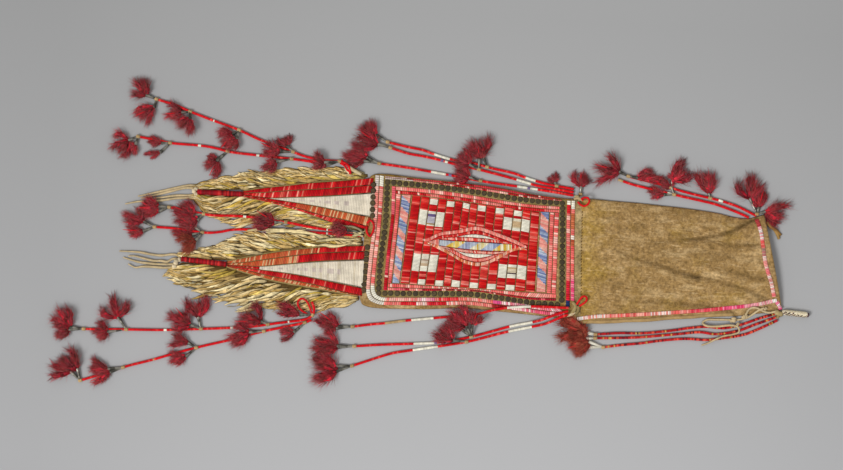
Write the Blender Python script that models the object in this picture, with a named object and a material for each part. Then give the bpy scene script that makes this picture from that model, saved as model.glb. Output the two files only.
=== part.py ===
"""Tobacco bag of soft hide with porcupine quillwork, lying flat on its back.

Frame: metres, +Z up. +X runs along the bag to its mouth, +Y to the side that lies uppermost in
plan, and the origin is on the ground under the middle of the quilled panel. The sizes below are
in millimetres, and add_mesh and add_tube turn them into metres.
"""

import math

import bmesh
import bpy
from mathutils import Vector
from mathutils.bvhtree import BVHTree

MM = 0.001
GAP = 0.3  # air left between neighbouring pieces
PATH_STEPS = 8  # points made on a smooth path for each one given

# The hide bag: one long sewn envelope, quilled at its lower end and plain at the mouth.
HIDE = 1.6  # thickness of one wall
SEAM = 4.0  # sewn margin round the inside
PANEL_HEIGHT = 5.2  # both walls and the little air between them, under the quillwork
POUCH_HEIGHT = 10.4  # the plain part stands a little open
HEM_HEIGHT = 3.6  # both walls beside the side seams of the pouch
POUCH_ROUNDING = 0.55  # below 1 gives a flat top with rounded sides
POUCH_START = 126.0  # where the quilled panel ends
POUCH_SWELL = 45.0  # length over which the pouch rises from panel to full height
# Upper and lower edge of the hide, in pairs from the tab end to the mouth.
SIDES = [
    ((-123.5, 70), (-123.5, -66)),
    ((-119, 77), (-119, -73)),
    ((-60, 77.5), (-60, -72)),
    ((0, 75.5), (0, -71.4)),
    ((60, 71.5), (60, -71.6)),
    ((112, 67.5), (112, -73.5)),
    ((130, 67), (130, -74.5)),
    ((158, 66.5), (160, -72.5)),
    ((190, 66), (192, -70)),
    ((215, 65), (219, -66)),
    ((240, 64), (246, -63)),
    ((262, 62.5), (271, -60)),
    ((282, 60.5), (293, -57.5)),
    ((299, 57.5), (314, -55)),
    ((315, 57), (335, -51)),
    ((325, 60), (349, -49)),
    ((333, 63), (361, -45)),
]
INSIDE = SIDES[1::2] + SIDES[-1:]  # the pairs at which the inner face has its rings of points
# Shares of the width, from the lower to the upper edge, where the hide has a line of points.
ACROSS = (0.035, 0.11, 0.24, 0.38, 0.52, 0.66, 0.79, 0.9, 0.965)
FOLD_FADE = 4.0  # how fast a fold dies out towards its second end
FOLD_END = 0.2  # the share of its height that is left there
ABOVE_ALL = 100.0  # a height over everything, from which the hide's face is looked for
# Soft folds of the pouch: both ends of the crest, its height and its half width.
FOLDS = [
    ((326, 56), (168, 10), 2.4, 12.0),
    ((160, 2), (256, -14), 1.6, 10.0),
    ((205, 24), (334, 6), 1.6, 11.0),
    ((214, -44), (272, -39), 1.4, 9.0),
]

# Quillwork: flattened quills sewn down in lanes.
QUILL = 1.0  # height of a lane over the hide
GROOVE = 0.5  # how far the stitched line between two lanes lies below their crests
# Corners of the quilled area: tab end upper, mouth end upper, mouth end lower, tab end lower.
PANEL = [(-116.2, 76.3), (116.5, 66), (122, -70), (-116.2, -70.2)]
# Widths of the borders on the four sides: upper, mouth end, lower, tab end.
OUTER_BORDER = (3.4, 11.0, 10.2, 10.4)
SEQUIN_BORDER = (6.8, 6.8, 6.8, 6.8)
# Corners of the middle of the panel, in the same order: the striped bands and the field.
MIDDLE = [(-84.6, 55.8), (87.6, 46.9), (89.8, -43.6), (-88.4, -44.6)]
STRIPED_BAND = 10.6
BAND_GAP = 0.45  # along the bag, between these slanting bands and the field
FIELD_COLUMNS = 15
SEQUIN = 6.5  # across the corners of one sequin
SEQUIN_PITCH = 6.7
SEQUIN_HEIGHT = 1.2
SEQUIN_SIDES = 6
LOZENGE_MIDDLE = (4.5, 4.5)
LOZENGE = (120.0, 43.0)  # along and across the bag
LOZENGE_RIM = 9.0  # width of its flat outline
LOZENGE_CREST = 0.9  # its raised middle against what the outline leaves
STRIP = 0.4  # height of the strip that the sequins are sewn to
SEQUIN_STRIP = 6.4  # its width at the tabs
JUNCTION_ROW = (-119.9, 62.0, -59.0)  # x of the sequin row at the tabs, and its ends in y
EDGING = 4.2  # width of the quilled edging at the mouth and along the lower side
EDGING_STEP = 14.0  # spacing of its cross-sections
EDGING_LIFT = 0.8  # its clearance over the curved hide
MOUTH_EDGE = [(326, 55), (332.5, 28), (341, -4), (348.5, -26), (352.5, -38)]
SIDE_EDGE = [
    (131, -69), (174, -64), (222, -57), (268, -52.5), (302, -47), (330, -41.5), (347.5, -37.5),
]

# The two tabs, each a stiff triangle ending in a quill-wrapped roll.
TAB_HIDE = 2.2
TAB_START = -123.5  # where the bag ends
# Where the tab meets the bag: its upper and lower end in y. Then the narrow end: x and the two y.
UPPER_TAB = {"base": (73.0, 16.0), "neck": (-266.0, 48.0, 40.5), "tip": (-318.0, 43.6)}
LOWER_TAB = {"base": (-3.5, -63.5), "neck": (-279.0, -33.5, -40.5), "tip": (-331.0, -34.5)}
TAB_MARGIN = 1.5  # bare hide round the tab's quillwork
TAB_LANES = (0, 0.11, 0.22, 0.62, 0.8, 1)  # lane borders from the upper to the lower side
ROLL = 6.6  # diameter of a wrapped tip
ROLL_SIDES = 10
# Shares of a roll's length and of its diameter, from the tab outwards.
ROLL_PROFILE = ((0, 0.8), (0.04, 1), (0.96, 1), (1, 0.7))

# Fringes of cut hide: two layers of leaf-shaped strips.
FRINGE = 2.0  # height of one layer
FRINGE_STRIPS = 10
VALLEY = 0.3  # how far out the cuts between the strips end, as a share of their length
SHORT_REACH = 0.72  # length of the upper layer's strips against the lower layer's
FRINGE_LAP = 0.4  # how deep the upper layer is pressed into the lower one
# Line of the strips' tips, from the bag to the end of the tab.
FRINGES = {
    "upper_outer_fringe": [
        (-124.5, 79), (-152, 82.5), (-203, 78), (-261, 71), (-292, 62), (-322, 50),
    ],
    "upper_inner_fringe": [
        (-124.5, 14.7), (-165, 14.6), (-218, 12.9), (-275, 8), (-303, 17), (-322, 36),
    ],
    "lower_inner_fringe": [
        (-124.5, 3), (-180, 2.6), (-236, 1.6), (-266, 0.8), (-300, -17), (-332, -29),
    ],
    "lower_outer_fringe": [
        (-124.5, -70), (-188, -86), (-239, -88), (-284, -83), (-322, -72), (-347, -55),
    ],
}
FRINGE_OFFSET = 0.5  # from the tab's edge to the fringe
UPPER_LAYER_BACK = 0.7  # how much further out the upper layer starts

# Pendants: hide thongs wrapped with red quills, each with cones and tufts of dyed hair.
STRAND = 3.2  # diameter of a wrapped thong
TUBE_STEP = 3.0  # spacing of the points along a thong, in diameters
CLEAR = 0.05  # the lowest line of a thong over the ground
CONE_LENGTH = 14.0
CONE_TOP = 1.5  # diameters of a cone at its thong and at its mouth
CONE_MOUTH = 3.6
CONE_SIDES = 5
TUFT_FLAT = 0.36  # height of a tuft as a share of its width
TUFT_FULL = 0.6  # where along its length a tuft is widest
KNOT = 5.0  # diameter and length of the knot at the end of a thong
KNOT_SIDES = 6
KNOT_PROFILE = ((-0.5, 0.6), (0.0, 1.0), (0.5, 0.6))  # shares of its length and diameter
ON_QUILLS = PANEL_HEIGHT + GAP + QUILL + GAP
ON_FRINGE = 2 * FRINGE - FRINGE_LAP + GAP
OVER_STRAND = STRAND + CLEAR + GAP

# Each route runs from the bag to the far end, and a third number is the height of what it lies on.
ROUTES = {
    "upper_tab_pendant_1": [
        (-144.5, 76, ON_FRINGE), (-145, 81, ON_FRINGE), (-148, 86, ON_FRINGE), (-156, 89.8, 1.4),
        (-166, 90, 0), (-180.5, 90.5), (-198, 93), (-213, 97.5), (-229, 102), (-251, 108.5),
        (-276, 118), (-310, 128), (-334, 135.5), (-349, 141), (-370, 146),
    ],
    "upper_tab_pendant_2": [
        (-168, 86.3), (-182.5, 86.6), (-197, 88), (-214, 89), (-254.5, 90.5), (-282.5, 92),
        (-306.5, 96), (-321.5, 97), (-353, 97.5), (-366.5, 99.5), (-388, 102),
    ],
    "middle_pendant_1": [
        (-123.9, 10.6), (-134, 10.6), (-152, 10.4), (-166, 10.6), (-177, 11.4, 1.6), (-191.5, 13, ON_FRINGE),
        (-210.5, 15.5, ON_FRINGE), (-235.5, 17, ON_FRINGE), (-256, 19, ON_FRINGE),
        (-276, 19, ON_FRINGE), (-296, 18, ON_FRINGE), (-309, 18.6, 2.2), (-320, 20.3, 0.2),
        (-332, 22, 0), (-347, 23.5),
    ],
    "middle_pendant_2": [
        (-123.9, 6.3), (-134, 6.3), (-171, 6.4), (-209, 6), (-241.5, 5), (-262, 4.3), (-276, 2.8),
        (-289, -0.5), (-304.5, -2.5), (-342.5, 0), (-362, 0),
    ],
    "lower_tab_pendant_1": [
        (-178, -73, ON_FRINGE), (-175, -81, ON_FRINGE), (-176.5, -88.5, 2.6), (-184, -93.6, 0),
        (-203.5, -98), (-216, -100.5), (-245, -106.5), (-272.5, -110), (-306, -113.5),
        (-347.5, -117.5), (-393, -120), (-416.5, -121.5), (-435, -122.5),
    ],
    "lower_tab_pendant_2": [
        (-177.5, -94.2), (-186, -98.2), (-199.5, -102), (-214, -106), (-228, -110), (-247, -116),
        (-267.5, -123), (-302, -133.5), (-332, -143.5), (-355, -152), (-385.5, -162),
        (-406.5, -170.5), (-435, -181),
    ],
    "upper_corner_pendant_1": [
        (113, 77), (85, 80.2), (74.5, 82), (55.5, 86.6), (44, 90), (16, 94.5), (-5.5, 99), (-29, 101),
        (-50.5, 106), (-63, 109.5), (-81.5, 112), (-101.5, 115.5),
    ],
    "upper_corner_pendant_2": [
        (113, 73.3), (85.5, 76.3), (70.5, 78), (45.5, 83.5), (4, 91.5), (-28.5, 96.6), (-44, 99.8),
        (-62.5, 102.5), (-80, 104.5), (-98, 109),
    ],
    "upper_corner_pendant_3": [
        (113, 69.6), (85.5, 72.4), (48.5, 75.4), (7.5, 78.6), (-22.5, 82.2), (-53, 85.5), (-77, 88),
        (-109.5, 90.5),
    ],
    "lower_corner_pendant_1": [
        (116, -59.5, ON_QUILLS), (74.5, -60.8, ON_QUILLS), (45, -64.5, ON_QUILLS),
        (33, -67.3, ON_QUILLS), (24, -70, ON_QUILLS), (15, -73.2, 5.6), (7, -75.6, 2.4),
        (-1, -77, 0), (-12, -78.4), (-36.5, -82), (-73, -88), (-93.5, -92), (-109, -94.5), (-127, -98),
    ],
    "lower_corner_pendant_2": [
        (116, -63.3, ON_QUILLS), (104, -67.2, ON_QUILLS), (95, -71.4, 6.6), (87, -75.2, 5.4),
        (79, -78, 2.2), (70, -80.6, 0.2), (60, -83, 0), (48, -86.6), (6, -101), (-29, -109.5),
        (-61.5, -113.5), (-96, -117), (-123.5, -120.5),
    ],
    "lower_corner_pendant_3": [
        (116, -67.1, ON_QUILLS), (109, -70.2, ON_QUILLS), (102, -74, 6.4), (95, -77.9, 3.8),
        (88, -80.9, 1), (80, -83.2, 0), (46.5, -92.5), (6, -105.8), (-29.5, -114.2), (-61, -121),
        (-82.5, -126), (-98.5, -132), (-124.5, -142.5),
    ],
    "mouth_upper_pendant_1": [
        (324.2, 61.0), (303, 69.8), (281.5, 75.5), (254.5, 80), (235, 83.7), (218, 88), (199, 91.5),
        (177, 95.5),
    ],
    "mouth_upper_pendant_2": [
        (315.8, 58.4), (303.5, 63), (276, 71), (262.5, 73.3), (235.5, 77.5), (199.5, 83.5),
        (182, 86.5), (163, 91.5),
    ],
    "mouth_lower_pendant_1": [
        (354, -50), (336, -56.5), (316, -65), (296, -70.5), (276.5, -70.2), (257, -73), (240.5, -76.6),
        (223.5, -79.7), (201, -83), (177, -84.5), (152, -87.5),
    ],
    "mouth_lower_pendant_2": [
        (355.5, -53.6), (330.5, -64.5), (314, -72), (287, -78), (269, -77), (246.5, -80.6),
        (223.5, -84.2), (201, -87.6), (177.5, -90), (152, -92),
    ],
    "mouth_lower_pendant_3": [
        (357, -57.2), (336.5, -68.5), (320, -76.2), (292, -82.8), (277.5, -85.3), (252.5, -85.8),
        (224, -90), (202, -94.5), (180, -98), (162, -101.5),
    ],
}
# Tassels on each thong: distance from its start, or "end", then for each cone its heading, the
# heading, length and width of its tuft, and the height of what the tuft lies on.
TASSELS = {
    "upper_tab_pendant_1": {
        22: [(190, 165, 17, 13, OVER_STRAND)],
        66: [(135, 125, 15, 16, 0), (178, 170, 24, 14, OVER_STRAND)],
        133: [(150, 160, 20, 16, 0), (245, 230, 15, 11, OVER_STRAND)],
        192: [(165, 175, 18, 16, 0), (255, 235, 20, 16, OVER_STRAND)],
        "end": [(150, 130, 23, 18, 0), (240, 222, 26, 18, 0)],
    },
    "upper_tab_pendant_2": {
        45: [(203, 212, 18, 12, ON_FRINGE)],
        119: [(215, 165, 15, 9, 0), (228, 240, 20, 16, 0)],
        186: [(165, 172, 17, 10, 0), (225, 195, 20, 11, 0)],
        "end": [(200, 215, 26, 18, 0), (250, 222, 15, 13, 0)],
    },
    "middle_pendant_1": {
        91: [(168, 170, 24, 16, ON_FRINGE)],
        186: [(160, 150, 22, 17, 1.2), (205, 190, 25, 12, 1)],
        "end": [(180, 165, 26, 15, 2.4), (205, 175, 20, 9, 2.4)],
    },
    "middle_pendant_2": {
        186: [(165, 180, 15, 11, 0), (235, 222, 22, 20, ON_FRINGE)],
        "end": [(160, 165, 22, 14, 0), (200, 190, 22, 12, 0)],
    },
    "lower_tab_pendant_1": {
        16: [(185, 172, 25, 12, ON_FRINGE)],
        70: [(150, 165, 27, 18, 0)],
        147: [(168, 155, 22, 15, 0), (105, 105, 22, 20, 0)],
        233: [(120, 115, 26, 22, 0), (190, 190, 18, 20, 0)],
        "end": [(170, 145, 24, 17, 0), (188, 200, 26, 15, 0)],
    },
    "lower_tab_pendant_2": {
        8: [(215, 200, 22, 13, 0)],
        56: [(190, 200, 26, 20, 0)],
        136: [(170, 178, 24, 14, 0), (235, 195, 26, 18, 0)],
        223: [(185, 170, 26, 14, 0), (215, 205, 26, 18, 0)],
        "end": [(105, 125, 26, 20, 0), (145, 160, 25, 18, 0)],
    },
    "upper_corner_pendant_1": {
        20: [(120, 150, 10, 8, 0)],
        103: [(125, 125, 24, 24, 0)],
        "end": [(145, 138, 25, 20, 0)],
    },
    "upper_corner_pendant_2": {
        112: [(172, 168, 20, 10, OVER_STRAND)],
        "end": [(168, 168, 27, 16, 0)],
    },
    "upper_corner_pendant_3": {
        108: [(168, 160, 22, 12, 0)],
        "end": [(150, 150, 27, 14, 0), (185, 180, 22, 12, 0)],
    },
    "lower_corner_pendant_1": {"end": [(165, 160, 26, 14, 0), (190, 185, 24, 12, 0)]},
    "lower_corner_pendant_2": {
        116: [(90, 100, 12, 12, 7.6), (130, 145, 24, 16, OVER_STRAND)],
        "end": [(172, 172, 28, 12, 0), (192, 188, 28, 12, 0)],
    },
    "lower_corner_pendant_3": {
        122: [(175, 176, 24, 12, OVER_STRAND)],
        "end": [(175, 165, 24, 14, 0), (208, 200, 26, 18, 0)],
    },
    "mouth_upper_pendant_1": {
        57: [(95, 130, 26, 22, 0)],
        104: [(80, 60, 24, 20, 0)],
        "end": [(155, 168, 32, 26, 0), (40, 10, 28, 16, 0)],
    },
    "mouth_upper_pendant_2": {
        90: [(205, 185, 16, 11, 0)],
    },
    "mouth_lower_pendant_1": {"end": [(172, 176, 28, 13, 0)]},
    "mouth_lower_pendant_2": {"end": [(184, 193, 26, 10, 0)]},
    "mouth_lower_pendant_3": {"end": [(192, 196, 28, 16, 0)]},
}
# Tassels tied at a corner of the bag: the knot's place, then as above.
CORNER_TASSELS = {
    "upper_corner_tassel": ((123, 69.7), [(90, 90, 18, 18, 0)]),
    "mouth_corner_tassel": ((334.8, 65), [(10, 0, 27, 26, 0), (120, 110, 24, 18, 0)]),
}

# Thongs at the tips of the tabs: each from the knot to its end, with its width at both ends.
TIP_THONG = 2.0
TIP_THONGS = {
    "upper_tip_thongs": [
        [(-319, 44), (-335, 47), (-353, 41.5), (-372, 36.5), (-398, 24)],
        [(-319, 43), (-332, 39), (-348, 34.5), (-371, 29.5)],
    ],
    "lower_tip_thongs": [
        [(-332, -34), (-345, -29), (-368, -30), (-402, -29.5)],
        [(-332, -35), (-350, -38), (-372, -40.5), (-399, -36.5)],
        [(-332, -36), (-346, -44), (-366, -46.5), (-396, -45)],
    ],
}
THONG_WIDTH = (4.6, 2.6)
THONG_TOP = 0.8  # width of the upper face against the lower one
THONG_STEP = 14.0

# The thong that ties the mouth, and the quill-wrapped toggle at the mouth's lower corner.
TIE = 2.0
TIE_ROUTE = [
    (340, -44, 7), (334, -47, 6.6), (329, -51, 5.6), (323, -55.8, 2.8), (314, -59.4, 0.2),
    (303, -60.4, 0), (288, -61.2), (276, -62.4), (271.4, -66), (276, -69.2, 4),
    (290, -68.6, OVER_STRAND), (303, -66.6, OVER_STRAND), (312, -68, OVER_STRAND),
    (313.5, -73.5, OVER_STRAND), (306, -77, OVER_STRAND), (296, -79.6, OVER_STRAND),
    (287, -84, OVER_STRAND), (280, -88.4, 1.4), (272, -92, 0),
]
TOGGLE = 6.9
TOGGLE_LENGTH = 31.0
TOGGLE_START = (361.4, -47.3)
TOGGLE_HEADING = -2.5
TOGGLE_SIDES = 12
# Shares of the toggle's length and of its diameter, from the bag outwards.
TOGGLE_PROFILE = ((0, 0.6), (0.05, 0.85), (0.14, 1), (0.86, 1), (0.95, 0.85), (1, 0.6))


def clear_scene():
    for thing in list(bpy.data.objects):
        bpy.data.objects.remove(thing, do_unlink=True)


def material(name, colour, roughness, metallic=0.0):
    """A Principled material, made once for each name."""
    found = bpy.data.materials.get(name)
    if found:
        return found
    made = bpy.data.materials.new(name)
    made.use_nodes = True
    shader = made.node_tree.nodes["Principled BSDF"]
    shader.inputs["Base Color"].default_value = (*colour, 1)
    shader.inputs["Roughness"].default_value = roughness
    shader.inputs["Metallic"].default_value = metallic
    made.diffuse_color = (*colour, 1)
    return made


def smoked_hide():
    return material("smoked_hide", (0.27, 0.18, 0.07), 0.9)


def fringe_hide():
    return material("fringe_hide", (0.58, 0.45, 0.24), 0.85)


def red_quill():
    return material("red_quill", (0.62, 0.01, 0.02), 0.45)


def pink_quill():
    return material("pink_quill", (0.8, 0.2, 0.19), 0.45)


def striped_quill():
    return material("striped_quill", (0.45, 0.4, 0.6), 0.45)


def cream_quill():
    return material("cream_quill", (0.76, 0.7, 0.55), 0.45)


def brass():
    return material("dark_brass", (0.12, 0.08, 0.02), 0.4, 1.0)


def dyed_hair():
    return material("dyed_hair", (0.28, 0.02, 0.03), 0.95)


def add_object(name, mesh, made_of, smooth=False):
    mesh.materials.clear()
    mesh.materials.append(made_of)
    if smooth:
        mesh.shade_smooth()
        mesh.set_sharp_from_angle(angle=math.radians(40))
    thing = bpy.data.objects.new(name, mesh)
    bpy.context.scene.collection.objects.link(thing)
    return thing


def add_mesh(name, shape, made_of, smooth=False):
    """Turns a bmesh in millimetres into an object, with its faces pointing out."""
    bmesh.ops.scale(shape, vec=(MM, MM, MM), verts=shape.verts)
    bmesh.ops.recalc_face_normals(shape, faces=shape.faces)
    mesh = bpy.data.meshes.new(name)
    shape.to_mesh(mesh)
    shape.free()
    return add_object(name, mesh, made_of, smooth)


def loft(shape, rings, closed=False, point=None):
    """Bridges rings of points, and closes both ends: with a face, in a point, or on each other."""
    made = [[shape.verts.new(point) for point in ring] for ring in rings]
    pairs = list(zip(made, made[1:]))
    if closed:
        pairs.append((made[-1], made[0]))
    for one, two in pairs:
        for i, vert in enumerate(one):
            j = (i + 1) % len(one)
            shape.faces.new((vert, one[j], two[j], two[i]))
    if closed:
        return
    shape.faces.new(made[0])
    if point is None:
        shape.faces.new(made[-1])
        return
    tip = shape.verts.new(point)
    for i, vert in enumerate(made[-1]):
        shape.faces.new((vert, made[-1][(i + 1) % len(made[-1])], tip))


def round_ring(middle, side, width, corners, height=None):
    """Points round a middle in an upright plane, on a circle or on a flattened one."""
    ring = []
    for corner in range(corners):
        angle = math.tau * (corner + 0.5) / corners
        up = Vector((0, 0, math.sin(angle) * (width if height is None else height) / 2))
        ring.append(middle + side * math.cos(angle) * width / 2 + up)
    return ring


def prism(shape, outline, bottom, top):
    """A flat outline raised from one height to another."""
    loft(shape, [[(x, y, bottom) for x, y in outline], [(x, y, top) for x, y in outline]])


def smooth_path(points):
    """Many points on the smooth curve through a few, by the centripetal Catmull-Rom rule."""
    spots = [Vector(point) for point in points]
    spots = [2 * spots[0] - spots[1], *spots, 2 * spots[-1] - spots[-2]]
    path = []
    for a, b, c, d in zip(spots, spots[1:], spots[2:], spots[3:]):
        t1 = math.sqrt((b - a).length)
        t2 = t1 + math.sqrt((c - b).length)
        t3 = t2 + math.sqrt((d - c).length)
        for step in range(PATH_STEPS):
            t = t1 + (t2 - t1) * step / PATH_STEPS
            ab = a.lerp(b, t / t1)
            bc = b.lerp(c, (t - t1) / (t2 - t1))
            cd = c.lerp(d, (t - t2) / (t3 - t2))
            abc = ab.lerp(bc, t / t2)
            bcd = bc.lerp(cd, (t - t1) / (t3 - t1))
            path.append(abc.lerp(bcd, (t - t1) / (t2 - t1)))
    path.append(spots[-2])
    return path


def path_length(path):
    return sum((there - here).length for here, there in zip(path, path[1:]))


def along(path, distance):
    """The point at a distance from the path's start, and the path's direction there."""
    for here, there in zip(path, path[1:]):
        step = (there - here).length
        if distance <= step:
            return here.lerp(there, distance / step), (there - here).normalized()
        distance -= step
    return path[-1], (path[-1] - path[-2]).normalized()


def evenly(path, step):
    """Points about a step apart along a path."""
    count = max(2, round(path_length(path) / step))
    return [along(path, path_length(path) * i / count)[0] for i in range(count + 1)]


def flat_heading(degrees):
    turn = math.radians(degrees)
    return Vector((math.cos(turn), math.sin(turn), 0.0))


# The hide bag.


def fold_lift(x, y):
    """How far the soft folds of the pouch raise its upper wall."""
    lift = 0.0
    for start, end, height, width in FOLDS:
        a, b, p = Vector(start), Vector(end), Vector((x, y))
        share = max(0.0, min(1.0, (p - a).dot(b - a) / (b - a).length_squared))
        away = (p - a.lerp(b, share)).length
        fade = min(1.0, FOLD_FADE * (1 - share) + FOLD_END)
        lift += height * math.exp(-((away / width) ** 2)) * fade
    return lift


def hide_top(x, y, share, folded):
    """Height of the upper wall's outer face, at a share of the width, with or without its folds."""
    swell = max(0.0, min(1.0, (x - POUCH_START) / POUCH_SWELL))
    if swell == 0.0:
        return PANEL_HEIGHT
    dome = math.sin(math.pi * share) ** POUCH_ROUNDING
    lift = fold_lift(x, y) if folded else 0.0
    pouch = HEM_HEIGHT + (POUCH_HEIGHT - HEM_HEIGHT + lift) * dome
    return PANEL_HEIGHT + (pouch - PANEL_HEIGHT) * swell


def hide_ring(upper, lower, inside):
    """One loop round the bag's wall: up over the top from the lower edge, and back underneath."""
    upper, lower = Vector(upper), Vector(lower)
    width = (upper - lower).length
    wall = HIDE if inside else 0.0
    margin = SEAM / width if inside else 0.0
    top, bottom = [], []
    for share in ACROSS:
        spot = lower.lerp(upper, margin + (1 - 2 * margin) * share)
        height = hide_top(spot.x, spot.y, margin + (1 - 2 * margin) * share, not inside)
        top.append((spot.x, spot.y, height - wall))
        bottom.append((spot.x, spot.y, wall))
    low, high = lower.lerp(upper, margin), lower.lerp(upper, 1 - margin)
    low_edge = (low.x, low.y, (top[0][2] + wall) / 2)
    high_edge = (high.x, high.y, (top[-1][2] + wall) / 2)
    return [low_edge, *top, high_edge, *reversed(bottom)]


def make_hide():
    """The envelope: its outer face to the mouth, over the rim, and back along its inner face."""
    shape = bmesh.new()
    outer = [hide_ring(upper, lower, False) for upper, lower in SIDES]
    inner = [hide_ring(upper, lower, True) for upper, lower in INSIDE]
    loft(shape, outer + inner[::-1])
    tree = BVHTree.FromBMesh(shape)
    add_mesh("bag_hide", shape, smoked_hide(), smooth=True)
    return tree


def height_on(tree, x, y):
    """Height of the hide's upper face, in millimetres."""
    return tree.ray_cast(Vector((x, y, ABOVE_ALL)), Vector((0, 0, -1)))[0].z


# Quillwork on the panel.


def inset(quad, widths):
    """The four-cornered outline that lies inside another by the widths given for its sides."""
    corners = [Vector(corner) for corner in quad]
    lines = []
    for i in range(4):
        a, b = corners[i], corners[(i + 1) % 4]
        inward = Vector((b.y - a.y, a.x - b.x)).normalized()
        lines.append((a + inward * widths[i], b - a))
    made = []
    for i in range(4):
        (p, d), (q, e) = lines[i - 1], lines[i]
        share = (q - p).cross(e) / d.cross(e)
        made.append(tuple(p + d * share))
    return made


def between(quad, one, two):
    """A point inside a quad: a share from the tab end to the mouth end, and from lower to upper."""
    upper = Vector(quad[0]).lerp(Vector(quad[1]), one)
    lower = Vector(quad[3]).lerp(Vector(quad[2]), one)
    return lower.lerp(upper, two)


def stretch(quad, one, two):
    """The part of a quad that lies between two shares of its length."""
    return [between(quad, one, 1), between(quad, two, 1), between(quad, two, 0), between(quad, one, 0)]


def lane_profile(lanes):
    """Shares across some lanes and the height there: rounded crests with grooves between."""
    profile = []
    for lane in range(lanes):
        profile.append((lane / lanes, QUILL - GROOVE))
        profile.append(((lane + 0.25) / lanes, QUILL))
        profile.append(((lane + 0.75) / lanes, QUILL))
    profile.append((1.0, QUILL - GROOVE))
    return profile


def add_border(name, outer, inner, lanes, made_of):
    """A frame of quilled lanes round the panel, between two outlines."""
    base = PANEL_HEIGHT + GAP
    profile = [(0.0, 0.0), *lane_profile(lanes), (1.0, 0.0)]
    rings = []
    for out, into in zip(outer, inner):
        line = [(Vector(out).lerp(Vector(into), share), height) for share, height in profile]
        rings.append([(*spot, base + height) for spot, height in line])
    shape = bmesh.new()
    loft(shape, rings, closed=True)
    add_mesh(name, shape, made_of)


def add_lanes(name, quad, lanes, made_of):
    """A quilled field whose lanes run across the bag, side by side from the tab end."""
    base = PANEL_HEIGHT + GAP
    profile = [(0.0, 0.0), *lane_profile(lanes), (1.0, 0.0)]
    rings = []
    for end in (0.0, 1.0):
        rings.append([(*between(quad, share, end), base + height) for share, height in profile])
    shape = bmesh.new()
    loft(shape, rings)
    add_mesh(name, shape, made_of)


def add_lozenge():
    """The long diamond in the middle of the field, higher along its centre."""
    base = PANEL_HEIGHT + GAP + QUILL + GAP
    long, wide = LOZENGE[0] / 2, LOZENGE[1] / 2
    middle = Vector(LOZENGE_MIDDLE)
    corners = [Vector((-long, 0)), Vector((0, wide)), Vector((long, 0)), Vector((0, -wide))]
    shape = bmesh.new()
    rings = []
    for inward, height in ((0.0, 0.0), (0.0, QUILL - GROOVE), (LOZENGE_RIM, QUILL - GROOVE)):
        scale = 1 - inward / wide
        rings.append([(*(middle + corner * scale), base + height) for corner in corners])
    crest = (1 - LOZENGE_RIM / wide) * LOZENGE_CREST
    rings.append([(*(middle + corner * crest), base + QUILL) for corner in corners])
    loft(shape, rings)
    add_mesh("quill_lozenge", shape, pink_quill())


def sequin_row(shape, start, end, base):
    """Domed sequins side by side along a line, each sunk a little into the strip under it."""
    start, end = Vector(start), Vector(end)
    count = max(2, round((end - start).length / SEQUIN_PITCH))
    spots = [start.lerp(end, i / count) for i in range(count)]
    turn = math.atan2((end - start).y, (end - start).x)
    for spot in spots:
        disc = []
        for corner in range(SEQUIN_SIDES):
            angle = turn + math.tau * corner / SEQUIN_SIDES
            out = Vector((math.cos(angle), math.sin(angle))) * SEQUIN / 2
            disc.append((*(spot + out), base))
        loft(shape, [disc], point=(*spot, base + SEQUIN_HEIGHT))


def unite(name, base, tools, made_of):
    """Fuses overlapping closed shapes to a base shape with a Boolean."""
    add_mesh(name + "_parts", tools, made_of)
    helper = bpy.data.objects[name + "_parts"]
    helper.hide_render = True
    helper.display_type = "WIRE"
    fuse = base.modifiers.new("fuse", "BOOLEAN")
    fuse.operation = "UNION"
    fuse.solver = "EXACT"
    fuse.use_self = True
    fuse.object = helper
    return base


def add_sequin_border(quad):
    """A strip of hide round the panel, with a row of brass sequins."""
    base = PANEL_HEIGHT + GAP
    inner = inset(quad, SEQUIN_BORDER)
    middle = inset(quad, [width / 2 for width in SEQUIN_BORDER])
    strip = bmesh.new()
    rings = []
    for corner in range(4):
        out, into = quad[corner], inner[corner]
        rings.append([(*out, base), (*out, base + STRIP), (*into, base + STRIP), (*into, base)])
    loft(strip, rings, closed=True)
    border = add_mesh("sequin_border", strip, brass())
    discs = bmesh.new()
    for corner in range(4):
        sequin_row(discs, middle[corner], middle[(corner + 1) % 4], base + STRIP / 2)
    unite("sequin_border", border, discs, brass())


def add_junction_row():
    """The row of sequins where the tabs are sewn to the bag."""
    base = PANEL_HEIGHT + GAP
    x, upper, lower = JUNCTION_ROW
    half = SEQUIN_STRIP / 2
    strip = bmesh.new()
    low, high = lower - half, upper + half
    outline = [(x - half, low), (x + half, low), (x + half, high), (x - half, high)]
    prism(strip, outline, base, base + STRIP)
    row = add_mesh("tab_sequin_row", strip, brass())
    discs = bmesh.new()
    sequin_row(discs, (x, lower), (x, upper + SEQUIN_PITCH), base + STRIP / 2)
    unite("tab_sequin_row", row, discs, brass())


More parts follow.
